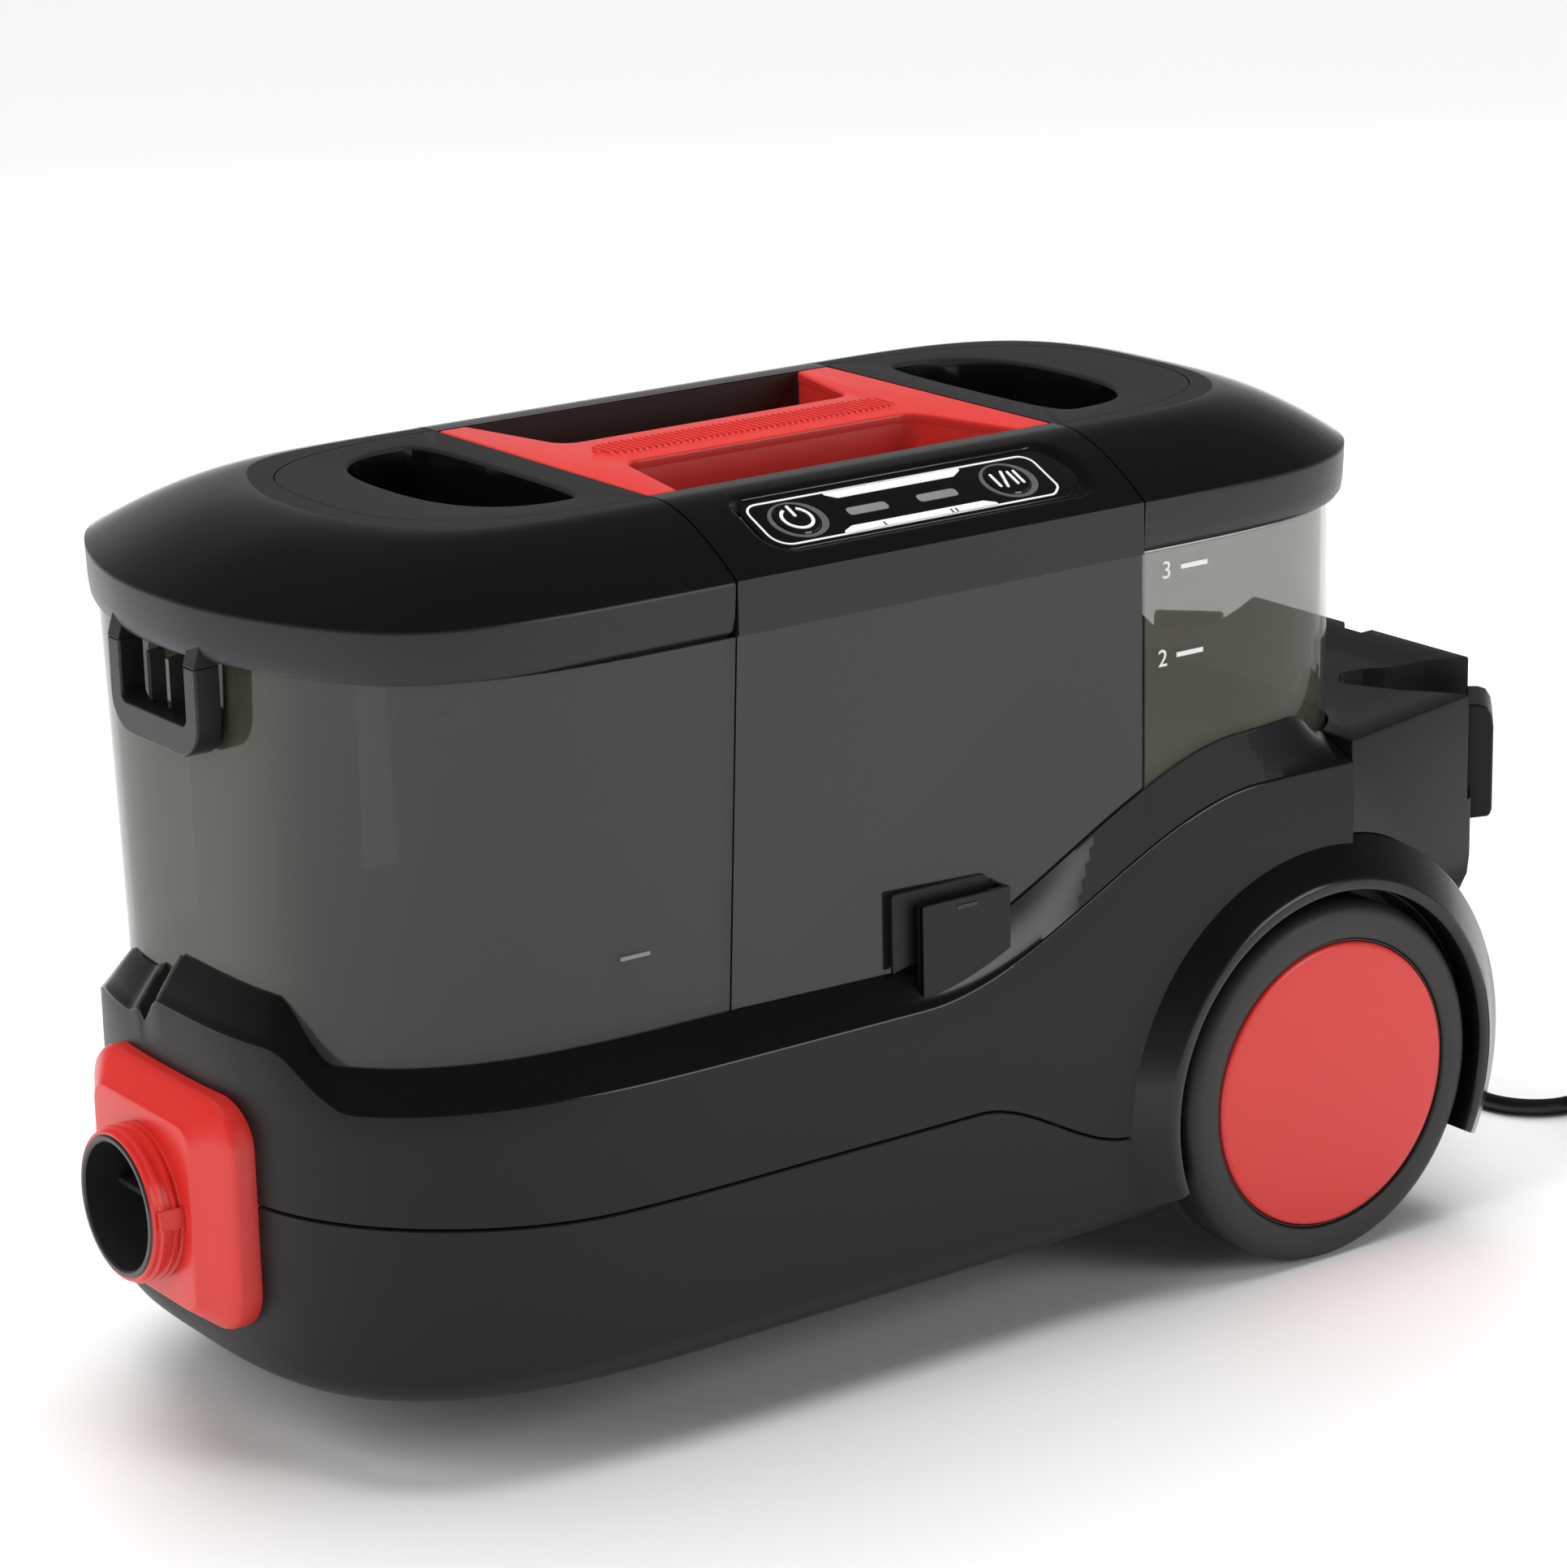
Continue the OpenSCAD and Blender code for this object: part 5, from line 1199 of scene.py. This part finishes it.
def cord():
    coil = coil_path()
    top = LOW_Z + (COIL_LEVELS - 1) * CORD_D
    plug_low, plug_high = spans("plug")
    plug_axis = (plug_low.z + plug_high.z) / 2
    plug_y = (plug_low.y + plug_high.y) / 2
    # the last loop narrows, shifts under the plug and rises to it
    climb = []
    for step in range(21):
        share = step / 20
        mix = float(smooth(share))
        radius = COIL_MEAN - CORD_D + (LAST_TURN - COIL_MEAN + CORD_D) * mix
        x = COIL_AT[0] + (plug_low.x - 2 - COIL_AT[0]) * mix
        y = COIL_AT[1] + (plug_y - LAST_TURN - COIL_AT[1]) * mix
        angle = math.pi / 2 - share * 2 * math.pi
        climb.append((x + radius * math.cos(angle), y + radius * math.sin(angle), top + (plug_axis - top) * mix))
    path = spline_points(CORD_ROUTE[:-1] + coil + climb + [(plug_low.x + 2, plug_y, plug_axis)], 3)
    curve = bpy.data.curves.new("mains_cord", "CURVE")
    curve.dimensions = "3D"
    curve.bevel_depth = CORD_D / 2 * MM
    curve.bevel_resolution = 4
    curve.use_fill_caps = True
    spline = curve.splines.new("POLY")
    spline.points.add(len(path) - 1)
    for point, p in zip(spline.points, path):
        point.co = (*world(p), 1)
    piece = link("mains_cord", curve)
    curve.materials.append(M["cord_black"])
    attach(piece, "root")
    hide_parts("power_cord", "cord_coil")
    make_plug(plug_low.x, plug_y, plug_axis)
    make_gland()


def make_plug(start, y, z):
    stations = [(0, 4.2, 4.2), (5, 4.6, 4.6), (12, 5.4, 5.4), (18, 8, 7), (22, 11, 8.4), (30, 12, 9), (46, 12, 9),
                (52, 11.4, 8.6), (54, 10.6, 7.8)]
    loops = [[(start + x, y + wide * spow(u, 0.75), z + tall * spow(v, 0.75)) for u, v in circle((0, 0), 1, 40)]
             for x, wide, tall in stations]
    make("plug_body", *chain(loops), "rubber_black", "root", ("plug",), sharp=50)
    pins = []
    for side in (-9.31, 9.31):
        profile = [(0.05, start + 52), (2.4, start + 52), (2.4, start + 71.5), (1.6, start + 72.8), (0.05, start + 73)]
        pins.append(spin_x(profile, y + side, z, count=24))
    make("plug_pins", *join_shapes(*pins), "steel")


def spow(value, power):
    return math.copysign(abs(value) ** power, value)


def make_gland():
    low, high = spans("cord_gland")
    y, z = (low.y + high.y) / 2, (low.z + high.z) / 2
    profile = [(3.6, low.x), (6, low.x), (6, low.x + 8), (8, low.x + 8), (8, low.x + 9.6), (7.4, low.x + 10.2),
               (6.4, low.x + 10.2)]
    reach = high.x - low.x
    x, radius = 12.0, 6.2
    while x < reach - 4:
        profile += [(radius, low.x + x), (radius - 0.9, low.x + x + 0.6), (radius - 0.9, low.x + x + 1.8),
                    (radius - 0.3, low.x + x + 2.4)]
        x += 3.6
        radius -= 0.32
    profile += [(4.1, high.x - 0.6), (3.6, high.x)]
    make("gland_sleeve", *spin_x(profile, y, z, count=40), "rubber_black", "root", ("cord_gland",), sharp=40)


# ---- the CAD nodes that stay, with their looks ----
def dress_cad():
    looks = {entry["node"]: entry["material_slot"] for entry in frame["record"]["subparts"]}
    for name, node in frame["nodes"].items():
        look = M[looks[name]]
        node.data.materials.clear()
        node.data.materials.append(look)
        if node.hide_render:
            continue
        edge = node.modifiers.new("round_edge", "BEVEL")
        edge.width = (0.8 if name == "mid_casing" else 0.35) * MM
        edge.segments = 2
        edge.limit_method = "ANGLE"
        edge.angle_limit = math.radians(40)


def studio():
    floor_mesh = bpy.data.meshes.new("studio_floor")
    size = 14
    floor_mesh.from_pydata([(-size, -size, 0), (size, -size, 0), (size, size, 0), (-size, size, 0)], [],
                           [(0, 1, 2, 3)])
    floor = link("studio_floor", floor_mesh)
    pale = bpy.data.materials.new("studio_floor")
    pale.use_nodes = True
    pale.node_tree.nodes["Principled BSDF"].inputs["Base Color"].default_value = (0.93, 0.93, 0.93, 1)
    pale.node_tree.nodes["Principled BSDF"].inputs["Roughness"].default_value = 0.85
    floor_mesh.materials.append(pale)
    sky = bpy.data.worlds.new("studio")
    sky.use_nodes = True
    nodes, links = sky.node_tree.nodes, sky.node_tree.links
    place = nodes.new("ShaderNodeTexCoord")
    split = nodes.new("ShaderNodeSeparateXYZ")
    ramp = nodes.new("ShaderNodeValToRGB")
    links.new(place.outputs["Generated"], split.inputs["Vector"])
    links.new(split.outputs["Z"], ramp.inputs["Fac"])
    links.new(ramp.outputs["Color"], nodes["Background"].inputs["Color"])
    steps = ramp.color_ramp.elements
    steps[0].position, steps[0].color = 0.0, (0.62, 0.62, 0.62, 1)
    steps[1].position, steps[1].color = 1.0, (0.05, 0.05, 0.05, 1)
    for where, level in ((0.14, 0.34), (0.34, 0.16), (0.6, 0.06)):
        added = steps.new(where)
        added.color = (level, level, level, 1)
    bpy.context.scene.world = sky
    bpy.context.scene.view_settings.view_transform = "Standard"
    sun = bpy.data.lights.new("overhead", "SUN")
    sun.energy = 3.1
    sun.angle = math.radians(70)
    lamp = link("overhead", sun)
    lamp.rotation_euler = (math.radians(-14), math.radians(12), 0)
    lamp.visible_glossy = False
    boxes = [("left_box", (-2.1, -0.2, 1.5), (-0.25, 0, 0.2), 0.9, 1.6, 26),
             ("right_box", (1.1, -2.2, 1.1), (0.1, 0, 0.2), 1.2, 1.2, 18),
             ("rim_box", (1.0, 1.9, 1.5), (0, 0, 0.3), 2.0, 0.8, 16)]
    for name, place, aim, wide, tall, power in boxes:
        data = bpy.data.lights.new(name, "AREA")
        data.shape = "RECTANGLE"
        data.size, data.size_y = wide, tall
        data.energy = power
        lamp = link(name, data)
        lamp.location = place
        lamp.rotation_mode = "QUATERNION"
        lamp.rotation_quaternion = (Vector(aim) - Vector(place)).to_track_quat("-Z", "Y")
        lamp.visible_camera = False
        lamp.visible_glossy = name == "right_box"


# painted light: the front tank's nose gets a warmer, lighter colour for the light coming through it
paint_light_through_nose(M["tank_smoke"], (0.056, 0.054, 0.038))
cord()
for lid, rides in (("front", "front_lid"), ("rear", "rear_lid")):
    lid_cover(lid, rides)
    lid_band(lid, rides)
    lid_insert(lid, rides)
front_tank()
rear_tank()
base_upper()
base_pan()
fenders()
drum()
mid_cover()
handle()
panel()
hose_port()
latch()
wheels()
caddy()
clip()
marks()
dress_cad()
studio()
